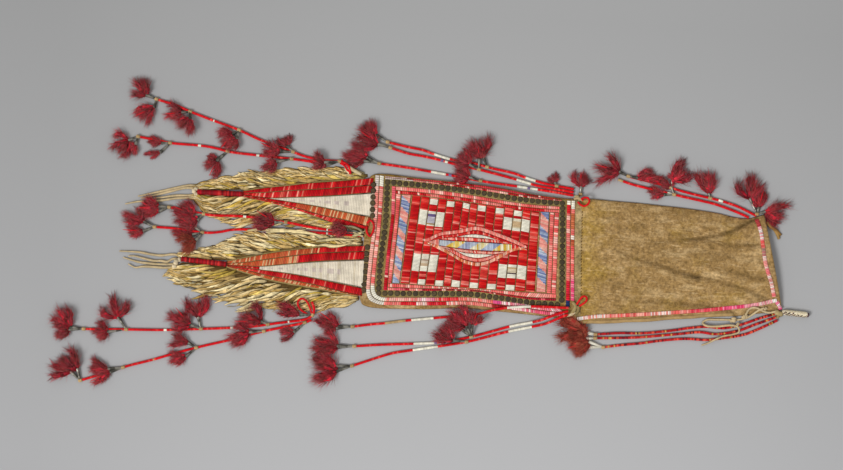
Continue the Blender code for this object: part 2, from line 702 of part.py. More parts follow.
def add_panel():
    """Everything that is sewn on the panel, from the outside inwards."""
    inner_edge = inset(PANEL, OUTER_BORDER)
    add_border("outer_quill_border", PANEL, inner_edge, 2, red_quill())
    sequins = inset(inner_edge, [GAP] * 4)
    add_sequin_border(sequins)
    pink = inset(inset(sequins, SEQUIN_BORDER), [GAP] * 4)
    add_border("inner_quill_border", pink, inset(MIDDLE, [-GAP] * 4), 2, pink_quill())
    width = MIDDLE[1][0] - MIDDLE[0][0]
    band, gap = STRIPED_BAND / width, BAND_GAP / width
    add_lanes("tab_end_striped_band", stretch(MIDDLE, 0, band), 1, striped_quill())
    add_lanes("mouth_end_striped_band", stretch(MIDDLE, 1 - band, 1), 1, striped_quill())
    field = stretch(MIDDLE, band + gap, 1 - band - gap)
    add_lanes("quill_field", field, FIELD_COLUMNS, red_quill())
    add_lozenge()


def add_edging(name, route, tree):
    """A quilled edging that follows the hide's upper face."""
    shape = bmesh.new()
    path = evenly(smooth_path([(x, y, 0) for x, y in route]), EDGING_STEP)
    rings = []
    for i, spot in enumerate(path):
        way = (path[min(i + 1, len(path) - 1)] - path[max(i - 1, 0)]).normalized()
        side = Vector((-way.y, way.x, 0)) * EDGING / 2
        ring = []
        for share, height in ((-1, 0), (1, 0), (1, QUILL - GROOVE), (0, QUILL), (-1, QUILL - GROOVE)):
            edge = spot + side * (1 if share > 0 else -1)
            low = height_on(tree, edge.x, edge.y) + EDGING_LIFT
            across = spot + side * share
            ring.append((across.x, across.y, low + height))
        rings.append(ring)
    loft(shape, rings)
    add_mesh(name, shape, pink_quill())


# Tabs and fringes.


def tab_corners(tab, margin):
    """The tab's outline drawn in by a margin: neck and base on the upper side, base and neck below."""
    start = TAB_START - GAP
    upper, lower = tab["base"]
    neck, neck_upper, neck_lower = tab["neck"]
    quad = [(neck, neck_upper), (start, upper), (start, lower), (neck, neck_lower)]
    return inset(quad, [margin] * 4)


def add_tab(name, tab):
    """A stiff triangle of hide, the quilled lanes that narrow along it, and its wrapped tip."""
    shape = bmesh.new()
    prism(shape, tab_corners(tab, 0.0), 0.0, TAB_HIDE)
    add_mesh(name + "_hide", shape, fringe_hide())

    neck_upper, base_upper, base_lower, neck_lower = tab_corners(tab, TAB_MARGIN)
    base = TAB_HIDE + GAP
    rings = []
    for upper, lower in ((base_upper, base_lower), (neck_upper, neck_lower)):
        upper, lower = Vector(upper), Vector(lower)
        ring = [(*upper, base), (*upper, base + QUILL - GROOVE)]
        for one, two in zip(TAB_LANES, TAB_LANES[1:]):
            for share, height in ((0.2, QUILL), (0.8, QUILL), (1.0, QUILL - GROOVE)):
                ring.append((*upper.lerp(lower, one + (two - one) * share), base + height))
        rings.append([*ring, (*lower, base)])
    shape = bmesh.new()
    loft(shape, rings)
    add_mesh(name + "_quillwork", shape, red_quill())

    neck, upper, lower = tab["neck"]
    start = Vector((neck - GAP, (upper + lower) / 2, ROLL / 2))
    end = Vector((*tab["tip"], ROLL / 2))
    way = (end - start).normalized()
    side = Vector((-way.y, way.x, 0))
    shape = bmesh.new()
    rings = []
    for share, width in ROLL_PROFILE:
        rings.append(round_ring(start.lerp(end, share), side, ROLL * width, ROLL_SIDES))
    loft(shape, rings)
    add_mesh(name + "_tip_wrap", shape, red_quill(), smooth=True)


def root_line(tab, upper_side, offset):
    """Along one side of a tab and on to its tip, just clear of it, from the bag outwards."""
    index = 0 if upper_side else 1
    away = offset if upper_side else -offset
    roll = (ROLL / 2 + offset) * (1 if upper_side else -1)
    return [
        Vector((TAB_START - GAP - offset, tab["base"][index] + away)),
        Vector((tab["neck"][0], tab["neck"][index + 1] + away)),
        Vector((tab["tip"][0], tab["tip"][1] + roll)),
    ]


def at_share(line, share):
    return along(line, path_length(line) * share)[0]


def comb(root, tips, shift, reach):
    """Outline of a row of strips that point along the tab, away from the bag."""
    edge = []
    for strip in range(FRINGE_STRIPS - math.ceil(shift)):
        start = (strip + shift) / FRINGE_STRIPS
        end = (strip + 1 + shift) / FRINGE_STRIPS
        edge.append(at_share(root, start).lerp(at_share(tips, start), VALLEY))
        edge.append(at_share(root, end).lerp(at_share(tips, end), reach))
    return [tuple(point) for point in [*root, *reversed(edge)]]


def add_fringe(name, tab, upper_side):
    """Two layers of strips, the upper one shorter and half a strip further on."""
    root = root_line(tab, upper_side, FRINGE_OFFSET)
    tips = [Vector(point) for point in FRINGES[name]]
    lower = bmesh.new()
    prism(lower, comb(root, tips, 0, 1.0), 0.0, FRINGE)
    fringe = add_mesh(name, lower, fringe_hide())
    upper = bmesh.new()
    root = root_line(tab, upper_side, FRINGE_OFFSET + UPPER_LAYER_BACK)
    prism(upper, comb(root, tips, 0.5, SHORT_REACH), FRINGE - FRINGE_LAP, 2 * FRINGE - FRINGE_LAP)
    unite(name, fringe, upper, fringe_hide())


def add_tip_thongs(name):
    """Flat thongs that run out of the knot at a tab's tip."""
    whole = bmesh.new()
    tools = bmesh.new()
    for index, route in enumerate(TIP_THONGS[name]):
        path = evenly(smooth_path([(x, y, 0) for x, y in route]), THONG_STEP)
        rings = []
        for i, spot in enumerate(path):
            way = (path[min(i + 1, len(path) - 1)] - path[max(i - 1, 0)]).normalized()
            width = THONG_WIDTH[0] + (THONG_WIDTH[1] - THONG_WIDTH[0]) * i / (len(path) - 1)
            side = Vector((-way.y, way.x, 0)) * width / 2
            up = Vector((0, 0, TIP_THONG))
            top = side * THONG_TOP
            rings.append([spot - side, spot + side, spot + top + up, spot - top + up])
        loft(tools if index else whole, rings)
    thongs = add_mesh(name, whole, fringe_hide())
    unite(name, thongs, tools, fringe_hide())


# Pendants.


def lying_path(route, diameter):
    """The middle line of a cord that lies on the ground or on what each point's third number says."""
    lowest = CLEAR + diameter / 2
    path = smooth_path([(x, y, (under[0] if under else 0) + lowest) for x, y, *under in route])
    for spot in path:
        spot.z = max(spot.z, lowest)
    return path


def add_tube(name, path, diameter, made_of):
    """A cord as a curve with a round section and closed ends."""
    curve = bpy.data.curves.new(name, "CURVE")
    curve.dimensions = "3D"
    curve.bevel_depth = diameter / 2 * MM
    curve.bevel_resolution = 2
    curve.use_fill_caps = True
    points = evenly(path, TUBE_STEP * diameter)
    spline = curve.splines.new("POLY")
    spline.points.add(len(points) - 1)
    for made, point in zip(spline.points, points):
        made.co = (*(point * MM), 1)
    curve.materials.append(made_of)
    tube = bpy.data.objects.new(name, curve)
    bpy.context.scene.collection.objects.link(tube)
    return tube


def as_mesh(tube, made_of):
    """The same tube as a mesh, which a Boolean can work on."""
    graph = bpy.context.evaluated_depsgraph_get()
    mesh = bpy.data.meshes.new_from_object(tube.evaluated_get(graph))
    name = tube.name
    bpy.data.objects.remove(tube, do_unlink=True)
    return add_object(name, mesh, made_of, smooth=True)


def tassel(shape, knot, cone_heading, tuft_heading, length, width, under):
    """A rolled metal cone on its thong, with a tuft of dyed hair that flares out of its mouth."""
    cone, tuft = flat_heading(cone_heading), flat_heading(tuft_heading)
    thick = max(CONE_MOUTH, width * TUFT_FLAT)
    mouth = knot + cone * CONE_LENGTH
    mouth.z = max(under + GAP + CONE_MOUTH / 2, CLEAR + CONE_MOUTH / 2)
    full = mouth + tuft * length * TUFT_FULL
    full.z = max(under + GAP, CLEAR) + thick / 2
    tip = mouth + tuft * length
    tip.z = full.z
    sections = [
        (knot, cone, CONE_TOP, CONE_TOP),
        (mouth, (cone + tuft).normalized(), CONE_MOUTH, CONE_MOUTH),
        (full, tuft, width, thick),
    ]
    rings = []
    for middle, way, wide, high in sections:
        side = Vector((-way.y, way.x, 0))
        rings.append(round_ring(middle, side, wide, CONE_SIDES, high))
    loft(shape, rings, point=tip)


def add_knot(name, spot, way, tassels):
    """A knot with its tassels, as one piece."""
    side = Vector((-way.y, way.x, 0))
    shape = bmesh.new()
    rings = []
    for share, width in KNOT_PROFILE:
        rings.append(round_ring(spot + way * KNOT * share, side, KNOT * width, KNOT_SIDES))
    loft(shape, rings)
    knot = add_mesh(name, shape, dyed_hair())
    tools = bmesh.new()
    for numbers in tassels:
        tassel(tools, spot, *numbers)
    unite(name, knot, tools, dyed_hair())


def add_pendant(name):
    """A wrapped thong with the tassels along it, and the knot and tassels at its end."""
    path = lying_path(ROUTES[name], STRAND)
    tube = add_tube(name, path, STRAND, red_quill())
    middle = {key: value for key, value in TASSELS.get(name, {}).items() if key != "end"}
    if middle:
        tube = as_mesh(tube, red_quill())
        tools = bmesh.new()
        for distance, tassels in middle.items():
            spot = along(path, distance)[0]
            for numbers in tassels:
                tassel(tools, spot, *numbers)
        unite(name, tube, tools, dyed_hair())
    if "end" in TASSELS.get(name, {}):
        end, way = path[-1], (path[-1] - path[-2]).normalized()
        spot = end + way * (KNOT / 2 + GAP)
        spot.z = KNOT / 2 + CLEAR
        add_knot(name.replace("pendant", "tassel"), spot, way, TASSELS[name]["end"])


def add_mouth_pieces(tree):
    """The quilled edgings, the tie thong and the toggle."""
    add_edging("mouth_quill_edge", MOUTH_EDGE, tree)
    add_edging("side_quill_edge", SIDE_EDGE, tree)
    add_tube("mouth_tie_thong", lying_path(TIE_ROUTE, TIE), TIE, fringe_hide())
    shape = bmesh.new()
    way = flat_heading(TOGGLE_HEADING)
    side = Vector((-way.y, way.x, 0))
    rings = []
    for share, width in TOGGLE_PROFILE:
        middle = Vector((*TOGGLE_START, TOGGLE / 2)) + way * TOGGLE_LENGTH * share
        rings.append(round_ring(middle, side, TOGGLE * width, TOGGLE_SIDES))
    loft(shape, rings)
    add_mesh("mouth_toggle", shape, cream_quill(), smooth=True)


def main():
    clear_scene()
    tree = make_hide()
    add_panel()
    add_junction_row()
    add_tab("upper_tab", UPPER_TAB)
    add_tab("lower_tab", LOWER_TAB)
    for name in FRINGES:
        tab = UPPER_TAB if name.startswith("upper") else LOWER_TAB
        add_fringe(name, tab, name in ("upper_outer_fringe", "lower_inner_fringe"))
    for name in TIP_THONGS:
        add_tip_thongs(name)
    for name in ROUTES:
        add_pendant(name)
    for name, ((x, y), tassels) in CORNER_TASSELS.items():
        add_knot(name, Vector((x, y, KNOT / 2 + CLEAR)), flat_heading(0), tassels)
    add_mouth_pieces(tree)


main()
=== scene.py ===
# %% [markdown]
# A quilled tobacco bag, seen from straight above on a pale floor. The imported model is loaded
# first and stays as it is. Every soft piece is then made again, finer, in the same place, and
# stands in for its plain solid. All lengths in this file are millimetres, until a mesh is made.

# %% Load the frame
import math
import random

import bmesh
import bpy
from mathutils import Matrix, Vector, noise


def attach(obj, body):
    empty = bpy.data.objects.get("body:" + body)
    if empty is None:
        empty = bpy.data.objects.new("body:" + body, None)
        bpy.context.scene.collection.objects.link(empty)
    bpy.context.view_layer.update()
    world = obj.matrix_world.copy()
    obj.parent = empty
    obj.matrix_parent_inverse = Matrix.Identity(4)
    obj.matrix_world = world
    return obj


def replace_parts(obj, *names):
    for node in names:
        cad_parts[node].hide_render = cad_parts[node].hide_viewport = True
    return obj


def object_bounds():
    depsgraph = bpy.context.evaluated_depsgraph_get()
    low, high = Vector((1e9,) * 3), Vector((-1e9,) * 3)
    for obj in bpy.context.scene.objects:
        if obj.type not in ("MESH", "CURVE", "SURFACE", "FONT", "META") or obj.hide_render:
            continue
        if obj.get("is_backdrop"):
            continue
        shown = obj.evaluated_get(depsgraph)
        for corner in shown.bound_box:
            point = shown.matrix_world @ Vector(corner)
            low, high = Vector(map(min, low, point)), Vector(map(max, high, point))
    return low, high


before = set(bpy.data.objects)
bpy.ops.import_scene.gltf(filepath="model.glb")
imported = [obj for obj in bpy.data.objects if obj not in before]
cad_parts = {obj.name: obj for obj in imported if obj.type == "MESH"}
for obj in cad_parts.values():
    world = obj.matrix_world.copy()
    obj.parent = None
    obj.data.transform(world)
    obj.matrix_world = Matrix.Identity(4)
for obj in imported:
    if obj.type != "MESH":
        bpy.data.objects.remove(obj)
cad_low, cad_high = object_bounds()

MM = 0.001
print("the solids measure", [round(size / MM) for size in cad_high - cad_low], "mm")

# %% [markdown]
# The photograph was taken from straight above with a long lens, so a camera high over the bag
# gives the same view. One pixel of it spans 1.15 mm, because such bags are 75 to 90 cm long with
# their fringe. The bag lies turned by four degrees in the picture. The frame runs along the bag,
# so the camera is turned instead.

# %% The camera
PICTURE = (843, 470)  # pixels
PIXEL = 1.15  # millimetres on the ground
BAG_MIDDLE = (471, 249)  # the pixel over the frame's origin
BAG_TURN = math.radians(4)
LENS = 100.0
SENSOR = 36.0


def from_photo(x, y):
    """The place on the ground under a pixel of the photograph."""
    right, down = (x - BAG_MIDDLE[0]) * PIXEL, (y - BAG_MIDDLE[1]) * PIXEL
    return Vector((
        right * math.cos(BAG_TURN) + down * math.sin(BAG_TURN),
        right * math.sin(BAG_TURN) - down * math.cos(BAG_TURN),
    ))


middle = from_photo(PICTURE[0] / 2, PICTURE[1] / 2)
lens = bpy.data.cameras.new("camera")
lens.lens = LENS
lens.sensor_width = SENSOR
lens.clip_end = 20
camera = bpy.data.objects.new("camera", lens)
camera_height = PICTURE[0] * PIXEL * LENS / SENSOR
camera.location = (middle.x * MM, middle.y * MM, camera_height * MM)
camera.rotation_euler = (0, 0, BAG_TURN)
bpy.context.scene.collection.objects.link(camera)
bpy.context.scene.camera = camera
bpy.context.scene.view_settings.view_transform = "Standard"
print("the camera is", round(camera_height), "mm above the floor")

# %% [markdown]
# The light is a plain studio light: a grey room and one wide soft lamp, low at the lower left of
# the picture, so that shadows fall soft to the upper right. Half of the light comes from the room
# and half from the lamp, which together make a colour come out as it is written.

# %% Light
ROOM_LIGHT = 0.56
SUN_LIGHT = 0.5
SUN_FROM = Vector((-1.0, -0.75, 1.5))
SUN_WIDTH = math.radians(22)  # how wide the lamp looks, which makes its shadows soft

world = bpy.data.worlds.new("studio")
world.use_nodes = True
world.node_tree.nodes["Background"].inputs["Color"].default_value = (1, 1, 1, 1)
world.node_tree.nodes["Background"].inputs["Strength"].default_value = ROOM_LIGHT
bpy.context.scene.world = world

lamp = bpy.data.lights.new("soft_lamp", "SUN")
lamp.angle = SUN_WIDTH
lamp.energy = SUN_LIGHT * math.pi / SUN_FROM.normalized().z
lamp_stand = bpy.data.objects.new("soft_lamp", lamp)
lamp_stand.rotation_euler = SUN_FROM.to_track_quat("Z", "Y").to_euler()
bpy.context.scene.collection.objects.link(lamp_stand)
print("the lamp stands", round(math.degrees(math.asin(SUN_FROM.normalized().z))), "degrees high")

# %% [markdown]
# Every material here is built from nodes. Two small helpers keep that short: one turns a colour
# as it is written on a paint card, in sRGB, into the linear numbers that Blender works with, and
# one adds a node with its settings and links. Patterns are given by the size that they have on
# the real thing.

# %% Helpers for colour and nodes


def linear(code, tone=1.0):
    """Linear red, green, blue and alpha of a colour written as RRGGBB, made darker or lighter."""
    parts = [int(code[i : i + 2], 16) / 255 for i in (0, 2, 4)]
    parts = [c / 12.92 if c <= 0.04045 else ((c + 0.055) / 1.055) ** 2.4 for c in parts]
    return (*[min(1.0, c * tone) for c in parts], 1.0)


def blend_colours(one, two, share):
    return tuple(a + (b - a) * share for a, b in zip(one, two))


def add_node(tree, kind, links, **settings):
    """A node with its settings, whose inputs get a value or the output of another node."""
    made = tree.nodes.new(kind)
    for key, value in settings.items():
        setattr(made, key, value)
    for key, value in links.items():
        if isinstance(value, bpy.types.NodeSocket):
            tree.links.new(value, made.inputs[key])
        else:
            made.inputs[key].default_value = value
    return made


def pattern_scale(size):
    """The scale at which a noise has features of this many millimetres."""
    return 1 / (size * MM)


def start_material(name, roughness, metallic=0.0, ior=1.5, gloss=0.5):
    """A new material, its node tree and its shader. gloss is the strength of its shine."""
    made = bpy.data.materials.new(name)
    made.use_nodes = True
    shader = made.node_tree.nodes["Principled BSDF"]
    surface = {"Roughness": roughness, "Metallic": metallic, "IOR": ior}
    surface["Specular IOR Level"] = gloss
    for socket, value in surface.items():
        shader.inputs[socket].default_value = value
    return made, made.node_tree, shader


print("white is", linear("FFFFFF")[:3], "and mid grey is", round(linear("808080")[0], 3))

# %% [markdown]
# The floor is a sheet of grey backdrop paper. It is matt and has no pattern, so that it shows the
# bag's soft shadow and nothing else. Its colour carries a painted falloff of the light: it is drawn
# a little darker towards the top of the picture and towards both sides.

# %% The floor
PAPER_NEAR = "B5B5B6"
PAPER_FAR = "A0A0A0"
FLOOR_SIZE = 6000.0
SHADE_SPAN = 540.0  # how far up the picture the painted falloff of light darkens the paper
SIDE_SHADE = 0.12  # how much darker the painted falloff makes it half a picture to the left or right

paper, tree, shader = start_material("grey_backdrop_paper", 0.95, gloss=0.1)
spot = add_node(tree, "ShaderNodeTexCoord", {})
apart = add_node(tree, "ShaderNodeSeparateXYZ", {"Vector": spot.outputs["Object"]})
# The painted falloff of the light: darker up the picture and towards the sides.
share = add_node(tree, "ShaderNodeMapRange", {
    "Value": apart.outputs["Y"], "From Min": -SHADE_SPAN / 2 * MM, "From Max": SHADE_SPAN / 2 * MM,
})
shade = add_node(tree, "ShaderNodeMix", {
    "Factor": share.outputs["Result"], "A": linear(PAPER_NEAR), "B": linear(PAPER_FAR),
}, data_type="RGBA")
sideways = add_node(tree, "ShaderNodeMath", {
    0: apart.outputs["X"], 1: 2 / (PICTURE[0] * PIXEL * MM),
}, operation="MULTIPLY")
squared = add_node(tree, "ShaderNodeMath", {
    0: sideways.outputs["Value"], 1: sideways.outputs["Value"],
}, operation="MULTIPLY")
falling = add_node(tree, "ShaderNodeMapRange", {
    "Value": squared.outputs["Value"], "To Min": 1.0, "To Max": 1 - SIDE_SHADE,
})
plain = add_node(tree, "ShaderNodeVectorMath", {
    "Vector": shade.outputs["Result"], "Scale": falling.outputs["Result"],
}, operation="SCALE")
tree.links.new(plain.outputs["Vector"], shader.inputs["Base Color"])

half = FLOOR_SIZE / 2 * MM
sheet = bpy.data.meshes.new("floor")
corners = [(-half, -half, 0), (half, -half, 0), (half, half, 0), (-half, half, 0)]
sheet.from_pydata(corners, [], [(0, 1, 2, 3)])
sheet.materials.append(paper)
floor = bpy.data.objects.new("floor", sheet)
bpy.context.scene.collection.objects.link(floor)
floor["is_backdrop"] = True
print("the floor is", FLOOR_SIZE / 1000, "m wide")

# %% [markdown]
# Almost everything on this bag is one of two shapes: a row of cross-sections joined side by side,
# such as a thong, a cone, a hair, a cut strip or a lane of quills, or a fan of such rows. One
# small class gathers their points and faces, with the dye of each face, and makes one closed mesh
# of them at the end. The dye is an attribute of the mesh that the materials read, which lets
# neighbouring quills differ as hand-dyed ones do.

# %% Helper that gathers shapes


class Work:
    """Closed shapes that become one mesh, each face with its own dye."""

    def __init__(self):
        self.points, self.faces, self.dyes = [], [], []

    def loft(self, rings, dyes, tip=None):
        """Joins rings of points. dyes has a colour for each gap, or a list of one for each face."""
        first, count = len(self.points), len(rings[0])
        for ring in rings:
            self.points.extend(ring)
        for gap in range(len(rings) - 1):
            here, there = first + gap * count, first + (gap + 1) * count
            dye = dyes[gap]
            for i in range(count):
                j = (i + 1) % count
                self.faces.append((here + i, here + j, there + j, there + i))
                self.dyes.append(dye[i] if isinstance(dye, list) else dye)
        plain = [dye[0] if isinstance(dye, list) else dye for dye in (dyes[0], dyes[-1])]
        self.faces.append(tuple(range(first + count - 1, first - 1, -1)))
        self.dyes.append(plain[0])
        last = first + (len(rings) - 1) * count
        if tip is None:
            self.faces.append(tuple(range(last, last + count)))
            self.dyes.append(plain[1])
            return
        self.points.append(tip)
        for i in range(count):
            self.faces.append((last + i, last + (i + 1) % count, len(self.points) - 1))
            self.dyes.append(plain[1])

    def finish(self, name, material, slot, smooth=True):
        """The object, in metres, riding on the bag."""
        mesh = bpy.data.meshes.new(name)
        mesh.from_pydata([tuple(c * MM for c in point) for point in self.points], [], self.faces)
        dye = mesh.attributes.new("dye", "FLOAT_COLOR", "FACE")
        dye.data.foreach_set("color", [part for colour in self.dyes for part in colour])
        shape = bmesh.new()
        shape.from_mesh(mesh)
        bmesh.ops.recalc_face_normals(shape, faces=shape.faces)
        shape.to_mesh(mesh)
        shape.free()
        if smooth:
            mesh.shade_smooth()
        mesh.materials.append(material)
        made = bpy.data.objects.new(name, mesh)
        bpy.context.scene.collection.objects.link(made)
        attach(made, "root")
        return made


def varied(code, dice, spread=0.12):
    """A dye with the small difference in tone that each hand-dyed quill has."""
    return linear(code, 1 + dice.uniform(-spread, spread))


sample = Work()
sample.loft([[(0, 0, z), (1, 0, z), (0, 1, z)] for z in (0, 1)], [linear("FFFFFF")])
print("a prism has", len(sample.faces), "faces")

# %% [markdown]
# Porcupine quills are hollow keratin, dyed in a bath, softened in the mouth and flattened as they
# are sewn or wrapped. That leaves a smooth, slightly waxy surface that shines softly along each
# quill, with the dye thinner in places. A gloss about halfway between matt and polished gives
# that, and a fine streak along the surface breaks the highlight. Most finishes on this bag are a
# dye with something over it, so one helper makes them all: noises of real sizes make the dye
# lighter and darker, and the last and finest one is also the relief.

# %% Quill material
KERATIN_IOR = 1.55
DYE_PATCH = 7.0  # how far thin and strong dye lie apart
QUILL_STREAK = 0.5


def dyed_material(name, roughness, patterns=(), relief=None, **surface):
    """A finish whose colour is the mesh's own dye, varied by noises.

    A pattern is its size, its detail, the span of the noise that counts, and the tones at both
    ends of that span. relief is the strength and the depth of the last pattern's bump.
    """
    made, tree, shader = start_material(name, roughness, **surface)
    place = add_node(tree, "ShaderNodeTexCoord", {}).outputs["Object"]
    colour = add_node(tree, "ShaderNodeAttribute", {}, attribute_name="dye").outputs["Color"]
    for size, detail, span, tones in patterns:
        pattern = add_node(tree, "ShaderNodeTexNoise", {
            "Vector": place, "Scale": pattern_scale(size), "Detail": detail,
        })
        tone = add_node(tree, "ShaderNodeMapRange", {
            "Value": pattern.outputs["Fac"], "From Min": span[0], "From Max": span[1],
            "To Min": tones[0], "To Max": tones[1],
        })
        colour = add_node(tree, "ShaderNodeVectorMath", {
            "Vector": colour, "Scale": tone.outputs["Result"],
        }, operation="SCALE").outputs["Vector"]
    tree.links.new(colour, shader.inputs["Base Color"])
    if relief:
        bump = add_node(tree, "ShaderNodeBump", {
            "Height": pattern.outputs["Fac"], "Strength": relief[0], "Distance": relief[1] * MM,
        })
        tree.links.new(bump.outputs["Normal"], shader.inputs["Normal"])
    return made


QUILL = dyed_material("flattened_dyed_quill", 0.45, (
    (DYE_PATCH, 3, (0.3, 0.7), (0.78, 1.12)), (QUILL_STREAK, 2, (0.3, 0.7), (0.86, 1.1)),
), relief=(0.35, 0.15), ior=KERATIN_IOR, gloss=0.1)
print("made", QUILL.name)

# %% [markdown]
# Brain-tanned hide is soft and open. Its surface is a short nap that scatters light with almost
# no gloss, and thongs and fringe are cut from the same skin. This finish takes the colour of each
# strip from the mesh and adds small stains and the nap.

# %% Cut hide material
STAIN = 9.0
NAP = 0.6

CUT_HIDE = dyed_material("cut_buckskin_nap", 0.9, (
    (STAIN, 3, (0.35, 0.65), (0.8, 1.08)), (NAP, 4, (0.3, 0.7), (0.84, 1.1)),
), relief=(0.5, 0.25), ior=1.45, gloss=0.12)
print("made", CUT_HIDE.name)

# %% [markdown]
# The tufts are horsehair, dyed red and faded at the tips, and each hair takes its dye from the
# mesh. The cones are rolled from scrap tin: thin grey metal, dull and rough where it is
# tarnished, and brighter and smoother where it is rubbed. One noise steers both.

# %% Hair and tin materials
TARNISH = 6.0
RUBBED_FROM, RUBBED_TO = 0.4, 0.62  # the span of the noise from tarnished to rubbed

HAIR = dyed_material("dyed_horsehair", 0.65, gloss=0.15)
TIN, tree, shader = start_material("tarnished_rolled_tin", 0.4, metallic=0.9)
place = add_node(tree, "ShaderNodeTexCoord", {})
tarnish = add_node(tree, "ShaderNodeTexNoise", {
    "Vector": place.outputs["Object"], "Scale": pattern_scale(TARNISH), "Detail": 4,
})
rubbed = add_node(tree, "ShaderNodeMapRange", {
    "Value": tarnish.outputs["Fac"], "From Min": RUBBED_FROM, "From Max": RUBBED_TO,
})
colour = add_node(tree, "ShaderNodeMix", {
    "Factor": rubbed.outputs["Result"], "A": linear("4C4942"), "B": linear("A09C90"),
}, data_type="RGBA")
rough = add_node(tree, "ShaderNodeMapRange", {
    "Value": tarnish.outputs["Fac"], "From Min": RUBBED_FROM, "From Max": RUBBED_TO,
    "To Min": 0.6, "To Max": 0.3,
})
tree.links.new(colour.outputs["Result"], shader.inputs["Base Color"])
tree.links.new(rough.outputs["Result"], shader.inputs["Roughness"])
print("made", HAIR.name, "and", TIN.name)

# %% [markdown]
# The long red pendants come before the rest, because the whole picture hangs on where they lie.
# Each is a hide thong wrapped tightly with red quills. It is limp and lies flat on the table, so
# its route is a list of given points smoothed into one curve, the same one that the solid
# follows. A third number says how high the thing under the thong is.

# %% Routes of the pendants
STRAND = 3.2  # diameter
CLEAR = 0.05  # the lowest line of a thong over the ground
GAP = 0.3  # air between neighbouring pieces
# Heights of what a pendant lies on: the panel's quills, the fringe and another pendant.
ON_QUILLS = 6.8
ON_FRINGE = 3.9
OVER_STRAND = 3.55
PATH_STEPS = 8  # points made on a smooth path for each one given

